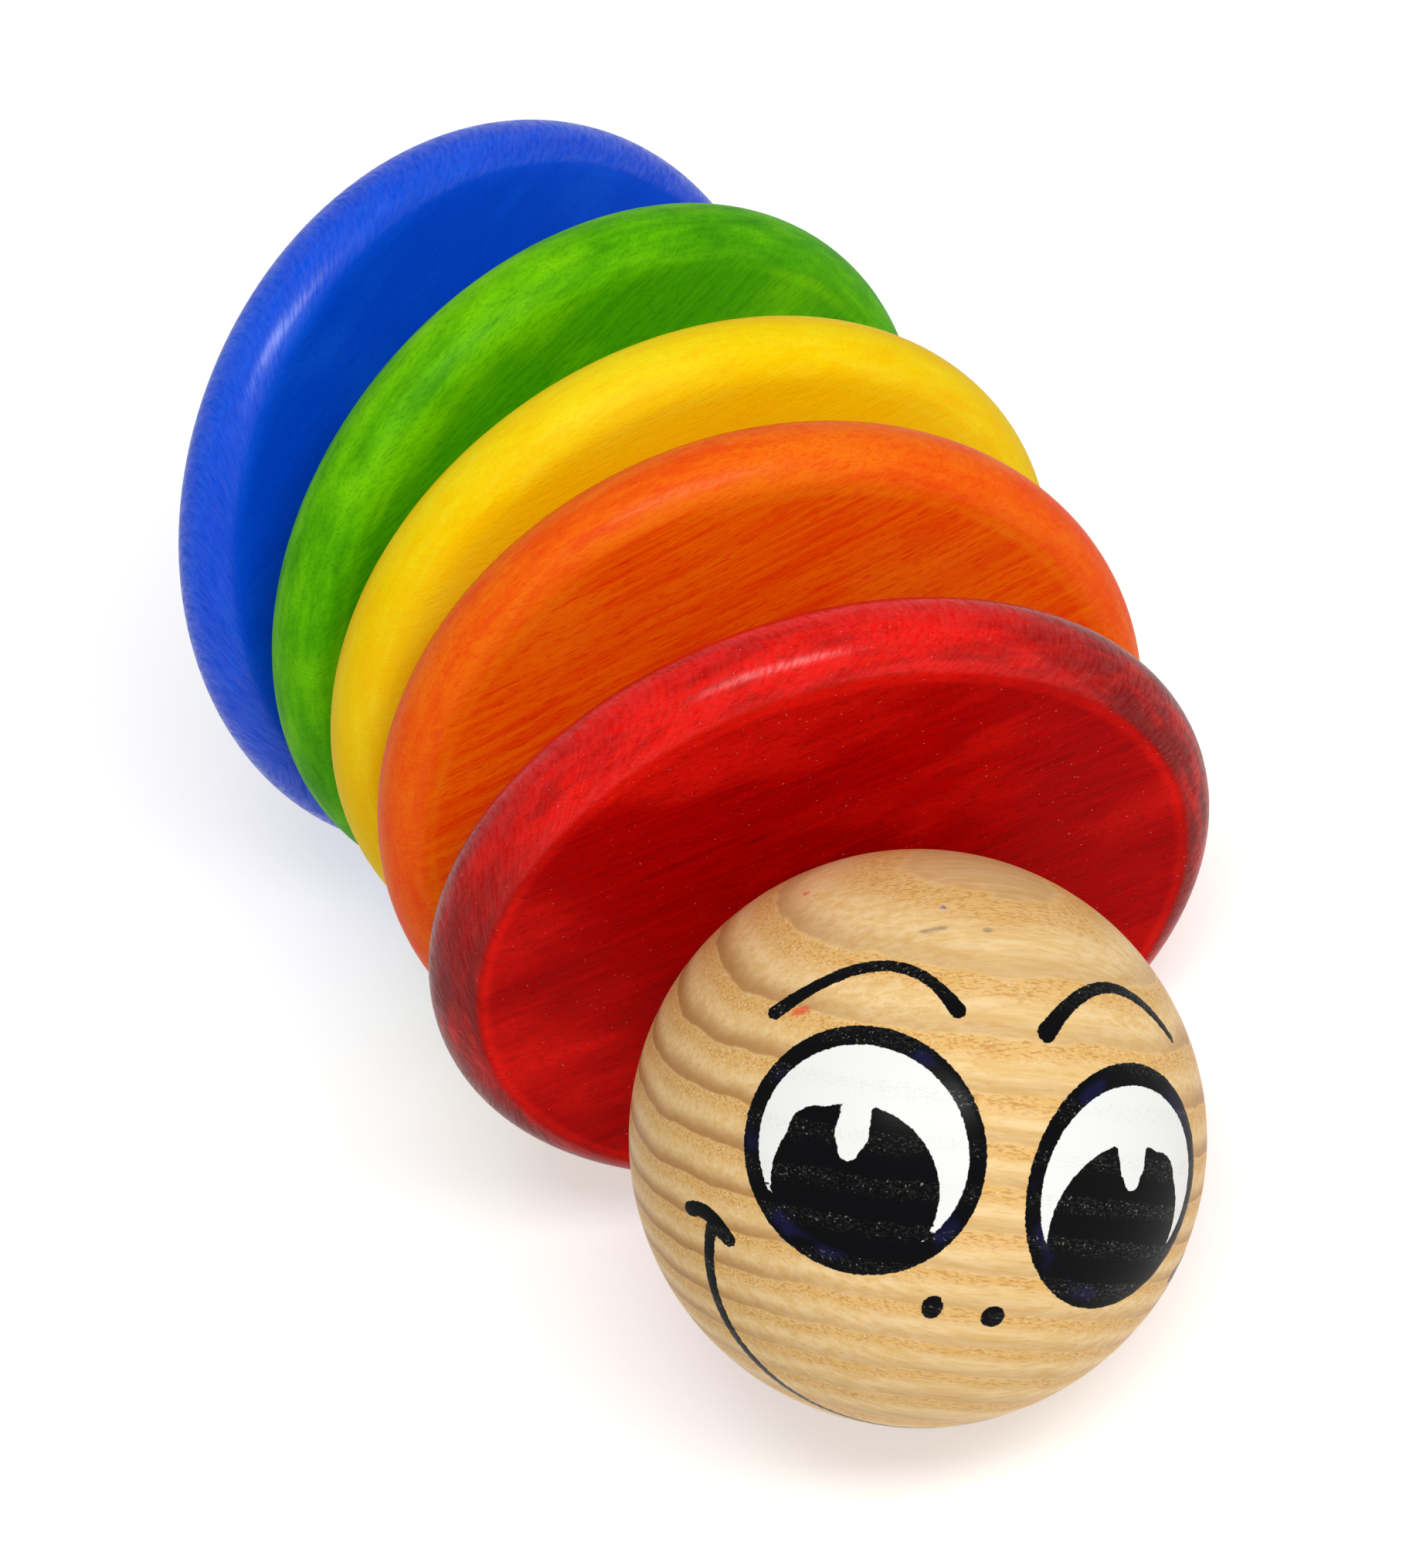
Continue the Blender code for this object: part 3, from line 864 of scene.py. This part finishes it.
SMILE_HALF_WIDTH = (1.45, 1.0)
SMILE_POINTS = 61
DIMPLES = (
    ((-61.0, -15.0), (-56.0, -13.4), (-50.0, -16.8)),
    ((59.5, -15.8), (65.0, -13.4), (70.5, -16.5)),
)
DIMPLE_HALF_WIDTH = 1.9
DIMPLE_POINTS = 9
print("face side:", [round(value, 2) for value in FACE_SIDE])

# %% [markdown]
# ### Brush edges
#
# A brush leaves round spots, and strokes with round ends and a firm edge.
# They could be thin meshes laid on the ball. Here each point gets its distance to the nearest brush edge,
# negative inside the paint, because a distance stays smooth between points and can be cut crisply anywhere.

# %% Brush edges
FAR_AWAY = 1e9
SMALLEST = 1e-9


def face_map(directions):
    """Degrees right and up on the face's map for unit vectors from the ball's centre."""
    right = directions @ np.array(FACE_SIDE)
    upward = directions @ np.array(MAP_UP)
    away = np.arccos(np.clip(directions @ np.array(MAP_CENTRE), -1.0, 1.0))
    spread = np.degrees(away) / np.maximum(np.hypot(right, upward), SMALLEST)
    return np.stack([right * spread, upward * spread], axis=1)


def round_edge(points, centre, size):
    """Distance to the edge of an ellipse, negative inside it."""
    size = np.array(size) * np.ones(2)
    scaled = (points - np.array(centre)) / size
    return (np.linalg.norm(scaled, axis=1) - 1.0) * size.min()


def stroke_edge(points, path, half_widths):
    """Distance to the edge of a brush stroke along a line of points, negative inside it."""
    nearest = np.full(len(points), FAR_AWAY)
    for i in range(len(path) - 1):
        start, end = np.array(path[i]), np.array(path[i + 1])
        run = end - start
        share = np.clip((points - start) @ run / (run @ run), 0.0, 1.0)
        width = half_widths[i] + (half_widths[i + 1] - half_widths[i]) * share
        gap = np.linalg.norm(points - start - share[:, None] * run, axis=1) - width
        nearest = np.minimum(nearest, gap)
    return nearest


def arch(start, top, end, count=24):
    """Points of the smooth curve that starts, peaks and ends at three points."""
    shares = np.linspace(0.0, 1.0, count)[:, None]
    start, top, end = (np.array(point) for point in (start, top, end))
    control = 2.0 * top - (start + end) / 2.0
    return (1 - shares) ** 2 * start + 2 * (1 - shares) * shares * control + shares**2 * end


print("one degree in mm:", round(MM_PER_DEGREE, 3))

# %% [markdown]
# ### Black and white paint
#
# The white of each eye is painted first, then the black ring, the pupil with its notch and the lines.
# Joining shapes by hand would leave slivers. With distances, the smaller of two joins them
# and the larger of one and the other's opposite cuts a hole.


# %% Paint layers
def eye_edges(points, eye):
    """Distances to the edges of an eye's black ring and of its notched pupil."""
    outside = round_edge(points, eye["centre"], eye["ring"])
    white = round_edge(points, eye["centre"], eye["white"])
    pupil = round_edge(points, eye["pupil"], eye["pupil_size"])
    pupil = np.minimum(pupil, round_edge(points, eye["lobe"], eye["lobe_size"]))
    pupil = np.maximum(pupil, -stroke_edge(points, eye["notch"], eye["notch_widths"]))
    return [np.maximum(outside, -white), np.maximum(pupil, outside)]


def ink_edge(points):
    """Distance to the edge of the black paint, in millimetres."""
    edges = []
    for eye in EYES.values():
        edges += eye_edges(points, eye)
    for brow in BROWS:
        path = arch(*brow["arch"])
        widths = np.interp(np.linspace(0.0, 1.0, len(path)), BROW_SHARES, brow["widths"])
        edges.append(stroke_edge(points, path, widths))
    for centre, size in NOSTRILS:
        edges.append(round_edge(points, centre, size))
    turns = np.radians(np.linspace(180.0, 360.0, SMILE_POINTS))
    smile = np.stack([np.cos(turns), np.sin(turns)], axis=1) * SMILE_SIZE + SMILE_CENTRE
    thin = np.sin(turns - math.pi)
    widths = SMILE_HALF_WIDTH[0] + (SMILE_HALF_WIDTH[1] - SMILE_HALF_WIDTH[0]) * thin
    edges.append(stroke_edge(points, smile, widths))
    for dimple in DIMPLES:
        path = arch(*dimple, count=DIMPLE_POINTS)
        edges.append(stroke_edge(points, path, [DIMPLE_HALF_WIDTH] * len(path)))
    return np.min(edges, axis=0) * MM_PER_DEGREE


def white_edge(points):
    """Distance to the edge of the white paint, which lies under the black, in millimetres."""
    edges = [round_edge(points, eye["centre"], eye["white"] + WHITE_UNDER_RING) for eye in EYES.values()]
    return np.min(edges, axis=0) * MM_PER_DEGREE


print("ink between the eyes in mm:", round(float(ink_edge(np.zeros((1, 2)))[0]), 1))

# %% [markdown]
# ### Stray marks
#
# The workshop left two dabs of red, a dot of blue and two grey smears on this ball.
# They could be left off, but they belong to a thing made by hand, and the same map holds them as strokes.

# %% Stray marks
STRAY = {
    "stray_red": dict(
        strokes=(((-46.0, 37.0), (-43.4, 38.2)), ((-51.8, 72.6), (-51.4, 73.0))),
        half_width=0.9, colour=(0.93, 0.30, 0.20),
    ),
    "stray_blue": dict(
        strokes=(((-14.3, 68.7), (-13.9, 68.9)),),
        half_width=0.7, colour=(0.20, 0.25, 0.70),
    ),
    "stray_grey": dict(
        strokes=(((-19.5, 60.6), (-13.5, 62.8)), ((-4.2, 63.4), (-2.4, 63.8))),
        half_width=0.6, colour=(0.55, 0.50, 0.44),
    ),
}


def stray_edge(points, mark):
    widths = [mark["half_width"]] * 2
    edges = [stroke_edge(points, stroke, widths) for stroke in mark["strokes"]]
    return np.min(edges, axis=0) * MM_PER_DEGREE


print("stray marks:", sum(len(mark["strokes"]) for mark in STRAY.values()))

# %% [markdown]
# ### The head ball
#
# The head is a turned ball with a blind bore behind, and the paint stands on it as a thin film.
# A ready-made sphere has too few points for the brush edges.
# This one is built of close rows, so that every point can carry its distances and its share of the film.

# %% Head ball
HEAD_STEPS = 320
HEAD_ROWS = 150
HEAD_POLE_GAP = 0.2
HEAD_BORE_RADIUS = 3.6 * MM
HEAD_BORE_DEPTH = 18.6 * MM
HEAD_BORE_ROWS = (0.05, 0.5, 1.0)
HEAD_MOUTH = -math.sqrt(HEAD_RADIUS**2 - HEAD_BORE_RADIUS**2)


def shell_faces(rows, columns, upward):
    """Faces of a closed shell of one point, rows of points down to the last, and one more point."""
    end = 1 + rows * columns
    faces = []
    for i in range(columns):
        j = (i + 1) % columns
        faces.append((0, 1 + i, 1 + j))
        for here in range(1, end - columns, columns):
            below = here + columns
            faces.append((here + i, below + i, below + j, here + j))
        faces.append((end - columns + i, end, end - columns + j))
    return [(face[0], *reversed(face[1:])) for face in faces] if upward else faces


def ball_mesh(name):
    """The ball with its bore, rows of points from the front pole round to the bottom of the bore."""
    mouth = math.degrees(math.asin(HEAD_MOUTH / HEAD_RADIUS))
    rows = arc((0.0, 0.0), HEAD_RADIUS, 90.0 - HEAD_POLE_GAP, mouth, HEAD_ROWS)
    start = rows[-1][1]
    rows += [(HEAD_BORE_RADIUS, start + HEAD_BORE_DEPTH * share) for share in HEAD_BORE_ROWS]
    turns = np.linspace(0.0, 2 * math.pi, HEAD_STEPS, endpoint=False)
    points = [(0.0, 0.0, HEAD_RADIUS)]
    for radius, height in rows:
        points += [(radius * math.cos(t), radius * math.sin(t), height) for t in turns]
    points.append((0.0, 0.0, start + HEAD_BORE_DEPTH))
    mesh = bpy.data.meshes.new(name)
    mesh.from_pydata(points, [], shell_faces(len(rows), HEAD_STEPS, upward=False))
    mesh.transform(HEAD_PLACE)
    return mesh


head_mesh = ball_mesh("painted_head")
print("head vertices:", len(head_mesh.vertices))

# %% [markdown]
# ### Paint on the ball
#
# Brushed paint stands a few hundredths of a millimetre proud of the wood.
# A bump could fake that. The points under the paint are really lifted, so the film shows in any light,
# and each point keeps its distances as attributes for the finish.

# %% Paint film
PAINT_FILM = 0.04 * MM
FILM_EDGE = 0.1
SKIN = 0.01 * MM
NO_PAINT = 9.0

coordinates = np.empty(len(head_mesh.vertices) * 3)
head_mesh.vertices.foreach_get("co", coordinates)
arms = coordinates.reshape(-1, 3) - np.array(HEAD_CENTRE)
lengths = np.linalg.norm(arms, axis=1)
on_face = lengths > HEAD_RADIUS - SKIN
places = face_map(arms / lengths[:, None])
layers = {"ink": ink_edge(places), "white": white_edge(places)}
layers.update({name: stray_edge(places, mark) for name, mark in STRAY.items()})
for name, values in layers.items():
    values = np.where(on_face, values, NO_PAINT).astype(np.float32)
    head_mesh.attributes.new(name, "FLOAT", "POINT").data.foreach_set("value", values)
film = np.clip(0.5 - np.minimum(layers["ink"], layers["white"]) / FILM_EDGE, 0.0, 1.0) * on_face
lifted = np.array(HEAD_CENTRE) + arms * (1.0 + film * PAINT_FILM / lengths)[:, None]
head_mesh.vertices.foreach_set("co", lifted.ravel())
head_mesh.shade_smooth()
print("painted vertices:", int((film > 0).sum()))

# %% [markdown]
# ### The head's finish
#
# Bare wood lies under the paint, and its pores still show in the paint's gloss.
# The paint could be a second shell. As masks in one finish it follows the wood exactly,
# and a little noise on the brush edges keeps them from looking printed.

# %% Head grain and paint
HEAD_ALONG = Vector((0.766, -0.172, -0.620)).normalized()
PITH_GUIDE = Vector((0.642, 0.259, 0.721))
HEAD_GROWTH = {
    "Centre": HEAD_CENTRE,
    "Along": HEAD_ALONG,
    "Pith": (PITH_GUIDE - HEAD_ALONG * PITH_GUIDE.dot(HEAD_ALONG)).normalized(),
    "Pith Distance": 55.2 * MM,
    "Ring Width": 2.96 * MM,
    "Narrowing": 10.7,
}
INK = (0.02, 0.02, 0.03)
INK_BLUE = (0.11, 0.10, 0.27)
INK_PAINTED_GLINT = (0.78, 0.76, 0.64)
WHITE = (0.97, 0.97, 0.96)
RAGGED = dict(scale=3000.0, detail=3.0, roughness=0.6)
RAGGED_REACH = 0.26
PAINT_SOFTNESS = 0.03
SMEAR_SOFTNESS = 0.15
SMEAR_SHARE = 0.75
BLUE_PLACE = 0.3
BLUE_REACH = (0.2, 0.8)
BLUE_PATCHES = dict(scale=260.0, detail=2.0, roughness=0.5)
BLUE_PATCH_BAND = (0.53, 0.66)
BLUE_SHARE = 0.6
INK_PAINTED_GLINT_SHARE = 0.4
PAINT_SMOOTHING = 0.14
WOOD_GLOSS = 0.03
PAINT_COAT = 0.05
PORE_COAT = 0.30
OIL_COAT = 0.08
HEAD_COAT_ROUGH = 0.24
print("rings across the head:", round(2 * HEAD_RADIUS / HEAD_GROWTH["Ring Width"]))


# %% Head finish
def painted_material():
    material, tree, surface, position = new_material("painted_head_wood")
    colour, rough, relief, painted_glints, pores = natural_wood(tree, position, HEAD_GROWTH)
    ragged = maths(tree, "MULTIPLY_ADD", noise(tree, position, **RAGGED), RAGGED_REACH, -RAGGED_REACH / 2)

    def distance(layer):
        return add(tree, "ShaderNodeAttribute", attribute_name=layer).outputs["Fac"]

    def paint_mask(layer, softness):
        edge = maths(tree, "ADD", distance(layer), ragged)
        return ramp(tree, edge, (-softness, softness), 1.0, 0.0)

    for layer, mark in STRAY.items():
        colour = tint(tree, colour, mark["colour"], paint_mask(layer, SMEAR_SOFTNESS), SMEAR_SHARE)
    white = paint_mask("white", PAINT_SOFTNESS)
    ink = paint_mask("ink", PAINT_SOFTNESS)
    painted = maths(tree, "MAXIMUM", white, ink)
    colour = tint(tree, colour, WHITE, white)
    from_ring = maths(tree, "ABSOLUTE", maths(tree, "SUBTRACT", distance("white"), BLUE_PLACE))
    patches = ramp(tree, noise(tree, position, **BLUE_PATCHES), BLUE_PATCH_BAND)
    blue = maths(tree, "MULTIPLY", ramp(tree, from_ring, BLUE_REACH, 1.0, 0.0), patches)
    ink_tone = tint(tree, linear(INK), INK_BLUE, blue, BLUE_SHARE)
    # Painted glints in the black paint: pale specks where light would catch the pores under it.
    ink_tone = tint(tree, ink_tone, INK_PAINTED_GLINT, painted_glints, INK_PAINTED_GLINT_SHARE)
    colour = blend_colour(tree, ink, colour, ink_tone)
    rough = maths(tree, "SUBTRACT", rough, maths(tree, "MULTIPLY", painted, PAINT_SMOOTHING))
    tree.links.new(rough, surface.inputs["Roughness"])
    ink_gloss = maths(tree, "MULTIPLY", maths(tree, "MULTIPLY_ADD", pores, PORE_COAT, PAINT_COAT), ink)
    oil_gloss = maths(tree, "MULTIPLY", maths(tree, "SUBTRACT", 1.0, painted), OIL_COAT)
    tree.links.new(maths(tree, "ADD", ink_gloss, oil_gloss), surface.inputs["Coat Weight"])
    surface.inputs["Coat Roughness"].default_value = HEAD_COAT_ROUGH
    surface.inputs["Specular IOR Level"].default_value = WOOD_GLOSS
    dress(tree, surface, colour, relief, RELIEF_DEPTH, WOOD_BUMP)
    return material


head_mesh.materials.append(painted_material())
stand_for(put("painted_head", head_mesh), "head_ball", "head")

# %% [markdown]
# ## Spacer beads
#
# The beads keep the discs apart and are the ball joints that the worm bends on.
# Their holes widen towards both mouths so that the cord isn't pinched in a bend.
# A hole could be cut out of a sphere, but the lathe tree turns bead and hole from one section.

# %% Beads
BEAD_RADIUS = 4.97 * MM
BEAD_HOLE = 1.62 * MM
BEAD_FLARE = math.radians(14.0)
BEAD_REACH = BEAD_RADIUS * 0.905
BEAD_WAIST = 1.0 * MM
BEAD_EASE = 0.25 * MM
BEAD_SEGMENTS = 28
BEAD_STEPS = 72
BEAD_RING_WIDTH = 1.3 * MM
BEAD_PITH_DISTANCE = 20.0 * MM
BEAD_SLANT = 0.4


def bead_section():
    """Section of a bead: the round outside, and the hole from its rear mouth to its front one."""
    mouth = BEAD_HOLE + BEAD_REACH * math.tan(BEAD_FLARE)
    angle = math.degrees(math.acos((mouth + BEAD_EASE) / BEAD_RADIUS))
    outside = arc((0.0, 0.0), BEAD_RADIUS, angle, -angle, BEAD_SEGMENTS)
    waist = BEAD_HOLE + BEAD_EASE
    lower = [(mouth, -BEAD_REACH), (waist, -BEAD_WAIST)]
    upper = [(waist, BEAD_WAIST), (mouth, BEAD_REACH)]
    return outside + lower + [(BEAD_HOLE, 0.0)] + upper


for number, colour in enumerate(COLOURS[1:]):
    place = BEAD_PLACES[colour]
    turn = place.to_3x3()
    along = turn @ Vector((math.cos(number), math.sin(number), BEAD_SLANT)).normalized()
    pith = along.cross(turn @ UP).normalized()
    growth = (place.translation, along, pith, BEAD_PITH_DISTANCE, BEAD_RING_WIDTH)
    finish = wood_material(colour + "_bead_wood", *growth)
    bead = turned(colour + "_wooden_bead", bead_section(), BEAD_STEPS, finish, place)
    stand_for(bead, colour + "_bead", colour + "_bead")

# %% [markdown]
# ## Pegs
#
# A drilled peg holds each end of the cord: one deep in the head, the other flush with the tail's back.
# They could be plain tubes, but a turned section also gives them the eased edges of real dowels.

# %% Pegs
PEG_RADIUS = 3.3 * MM
PEG_HOLE = 1.6 * MM
PEG_EASE = 0.2 * MM
PEG_STEPS = 64
PEG_RING_WIDTH = 1.1 * MM
PEG_PITH_DISTANCE = 25.0 * MM
PEG_PITH = Vector((0.6, 0.8, 0.0))
PEGS = {
    "head": dict(rear=-18.66 * MM, front=-6.68 * MM, place=HEAD_PLACE),
    "tail": dict(rear=-3.35 * MM, front=1.93 * MM, place=DISC_PLACES["blue"]),
}


def peg_section(rear, front):
    """Section of a drilled peg with eased outer edges."""
    front_edge = [(PEG_HOLE, front), (PEG_RADIUS - PEG_EASE, front), (PEG_RADIUS, front - PEG_EASE)]
    rear_edge = [(PEG_RADIUS, rear + PEG_EASE), (PEG_RADIUS - PEG_EASE, rear), (PEG_HOLE, rear)]
    return front_edge + rear_edge


for body, peg in PEGS.items():
    name = "drilled_" + body + "_peg"
    place = peg["place"]
    turn = place.to_3x3()
    growth = (place.translation, turn @ UP, turn @ PEG_PITH, PEG_PITH_DISTANCE, PEG_RING_WIDTH)
    finish = wood_material(name + "_wood", *growth)
    piece = turned(name, peg_section(peg["rear"], peg["front"]), PEG_STEPS, finish, place)
    stand_for(piece, body + "_peg", body)

# %% [markdown]
# ## The elastic cord
#
# One elastic cord runs through everything: a rubber core in a braided cover.
# A smooth tube with a bump would look like plastic in the gaps between the discs.
# The braid is two sets of fine strands that wind round the core in opposite senses and cross over and under,
# so a Geometry Nodes tree winds one strand as a spiral and repeats it round the core.

# %% One strand
STRAND_SIDES = 6
SPIRAL_STEPS = 28
CORE_SIDES = 24
FLAT = (1.0, 1.0, 0.0)


def strand(tree, given, reverse):
    """One strand of the braid, wound as a spiral that weaves in and out."""
    sizes = {"Resolution": SPIRAL_STEPS, "Rotations": given["Turns"], "Height": given["Length"]}
    sizes.update({"Start Radius": given["Winding Radius"], "End Radius": given["Winding Radius"]})
    spiral = add(tree, "GeometryNodeCurveSpiral", {**sizes, "Reverse": reverse}).outputs[0]
    factor = add(tree, "GeometryNodeSplineParameter").outputs["Factor"]
    crossings = maths(tree, "MULTIPLY", maths(tree, "MULTIPLY", factor, given["Turns"]), given["Strands"])
    wave = maths(tree, "SINE", maths(tree, "MULTIPLY", crossings, 2 * math.pi))
    height = maths(tree, "MULTIPLY", maths(tree, "MULTIPLY", wave, given["Weave"]), -1.0 if reverse else 1.0)
    spot = add(tree, "GeometryNodeInputPosition").outputs[0]
    outward = vector_maths(tree, "NORMALIZE", vector_maths(tree, "MULTIPLY", spot, FLAT))
    offset = vector_maths(tree, "SCALE", outward, Scale=height)
    woven = add(tree, "GeometryNodeSetPosition", {"Geometry": spiral, "Offset": offset}).outputs[0]
    sizes = {"Resolution": STRAND_SIDES, "Radius": given["Strand Radius"]}
    profile = add(tree, "GeometryNodeCurvePrimitiveCircle", sizes).outputs[0]
    shape = {"Curve": woven, "Profile Curve": profile, "Fill Caps": True}
    return add(tree, "GeometryNodeCurveToMesh", shape).outputs[0]


print("steps of a strand's turn:", SPIRAL_STEPS)


# %% Braid tree
def braid_tree():
    lengths = ("Length", "Core Radius", "Winding Radius", "Strand Radius", "Turns", "Weave")
    inputs = {**dict.fromkeys(lengths, "Float"), "Strands": "Int", "Finish": "Material"}
    tree, given, result = new_group("braided_cord", inputs, {"Cord": "Geometry"}, "GeometryNodeTree")
    joined = add(tree, "GeometryNodeJoinGeometry")
    share = maths(tree, "DIVIDE", add(tree, "GeometryNodeInputIndex").outputs[0], given["Strands"])
    angle = maths(tree, "MULTIPLY", share, 2 * math.pi)
    spin = add(tree, "ShaderNodeCombineXYZ", {"Z": angle}).outputs[0]
    for reverse in (False, True):
        points = add(tree, "GeometryNodePoints", {"Count": given["Strands"]}).outputs[0]
        copies = {"Points": points, "Instance": strand(tree, given, reverse), "Rotation": spin}
        ring = add(tree, "GeometryNodeInstanceOnPoints", copies)
        tree.links.new(ring.outputs[0], joined.inputs[0])
    sizes = {"Vertices": CORE_SIDES, "Radius": given["Core Radius"], "Depth": given["Length"]}
    core = add(tree, "GeometryNodeMeshCylinder", sizes).outputs[0]
    place = add(tree, "ShaderNodeCombineXYZ", {"Z": maths(tree, "MULTIPLY", given["Length"], 0.5)}).outputs[0]
    raised = add(tree, "GeometryNodeTransform", {"Geometry": core, "Translation": place})
    tree.links.new(raised.outputs[0], joined.inputs[0])
    end_tree(tree, joined.outputs[0], given["Finish"], result["Cord"])
    return tree


BRAID = braid_tree()
print("tree:", BRAID.name)

# %% [markdown]
# ### The cord's finish
#
# The cover is spun from off-white yarn, which is matt and a little fuzzy.
# Loose fibres could be grown as hair.
# At this size a fine noise in colour and bump, and some sheen, is enough.

# %% Elastic finish
YARN_LIGHT = (0.96, 0.95, 0.91)
YARN_DARK = (0.80, 0.78, 0.71)
FUZZ = dict(scale=5000.0, detail=3.0, roughness=0.6)
FUZZ_DEPTH = 0.03 * MM
FUZZ_BUMP = 0.6
YARN_ROUGH = 0.8
YARN_SHEEN = 0.3


def elastic_material():
    material, tree, surface, position = new_material("braided_elastic")
    fuzz = noise(tree, position, **FUZZ)
    dress(tree, surface, tint(tree, linear(YARN_LIGHT), YARN_DARK, fuzz), fuzz, FUZZ_DEPTH, FUZZ_BUMP)
    surface.inputs["Roughness"].default_value = YARN_ROUGH
    surface.inputs["Sheen Weight"].default_value = YARN_SHEEN
    return material


ELASTIC = elastic_material()
print("finish:", ELASTIC.name)

# %% [markdown]
# ### Stretches of cord
#
# The cord bends with the worm. One long cord could be bent by bones.
# Here each disc carries its own straight stretch, and the stretches meet inside the beads,
# where the small gaps that leave room for a bend are hidden.

# %% Cord stretches
CORD_RADIUS = 1.25 * MM
STRAND_RADIUS = 0.13 * MM
CORE_INSET = 2.2 * STRAND_RADIUS
STRANDS = 8
TURN_LENGTH = 7.0 * MM
WEAVE = 0.07 * MM
END_GAP = 0.32 * MM
NECK_GAP = 0.3 * MM


def braided(name, place, rear, front):
    """A stretch of braided cord between two heights along an axis."""
    length = front - rear
    sizes = {
        "Length": length,
        "Core Radius": CORD_RADIUS - CORE_INSET,
        "Winding Radius": CORD_RADIUS - STRAND_RADIUS - WEAVE,
        "Strand Radius": STRAND_RADIUS,
        "Turns": length / TURN_LENGTH,
        "Weave": WEAVE,
        "Strands": STRANDS,
        "Finish": ELASTIC,
    }
    mesh = bpy.data.meshes.new(name + "_start")
    return grown(name, mesh, BRAID, sizes, place @ Matrix.Translation((0.0, 0.0, rear)))


HALF_PITCH = (BEAD_PLACES["green"].translation - DISC_PLACES["blue"].translation).length
NECK_END = (HEAD_CENTRE - DISC_PLACES["red"].translation).length - HEAD_RADIUS - NECK_GAP
for colour in COLOURS:
    rear = -RIM_RADIUS if colour == "blue" else -HALF_PITCH + END_GAP
    front = NECK_END if colour == "red" else HALF_PITCH - END_GAP
    stretch = braided("braided_cord_" + colour, DISC_PLACES[colour], rear, front)
    body = "tail" if colour == "blue" else colour + "_link"
    stand_for(stretch, "cord_" + colour, body)

# %% [markdown]
# ### The front knot
#
# Past the head's peg, deep in the ball, the cord ends in a tight knot, so it can't be pulled out.
# A knot could be tied as one curve over and under itself.
# It is hidden in the bore, so a round lump with slanting ridges of wound cord stands for it.

# %% Front knot
KNOT_REAR = -6.38 * MM
KNOT_LENGTH = 5.0 * MM
KNOT_RADIUS = 3.2 * MM
KNOT_TURNS = 3
KNOT_ROWS = 40
KNOT_COLUMNS = 72
KNOT_FULLNESS = 0.6
KNOT_VALLEY = 0.84
KNOT_RIDGE = 0.15
KNOT_ENTRY = 0.6 * MM


def knot_mesh(name):
    """A lump of wound cord: a round body with ridges that run round it on a slant."""
    points = [(0.0, 0.0, KNOT_REAR)]
    for row in range(1, KNOT_ROWS):
        angle = math.pi * row / KNOT_ROWS
        height = KNOT_REAR + KNOT_LENGTH * (1.0 - math.cos(angle)) / 2
        for column in range(KNOT_COLUMNS):
            turn = 2 * math.pi * column / KNOT_COLUMNS
            ridge = abs(math.sin(KNOT_TURNS * angle + turn))
            swell = KNOT_RADIUS * math.sin(angle) ** KNOT_FULLNESS
            radius = swell * (KNOT_VALLEY + KNOT_RIDGE * ridge)
            points.append((radius * math.cos(turn), radius * math.sin(turn), height))
    points.append((0.0, 0.0, KNOT_REAR + KNOT_LENGTH))
    mesh = bpy.data.meshes.new(name)
    mesh.from_pydata(points, [], shell_faces(KNOT_ROWS - 1, KNOT_COLUMNS, upward=True))
    mesh.transform(HEAD_PLACE)
    mesh.shade_smooth()
    mesh.materials.append(ELASTIC)
    return mesh


neck_start = HEAD_MOUTH + NECK_GAP
head_stretch = braided("braided_cord_head", HEAD_PLACE, neck_start, KNOT_REAR + KNOT_ENTRY)
stand_for(head_stretch, "cord_head", "neck")
knot = put("cord_knot", knot_mesh("cord_knot"))
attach(knot, "neck")
print("knot faces:", len(knot.data.polygons))
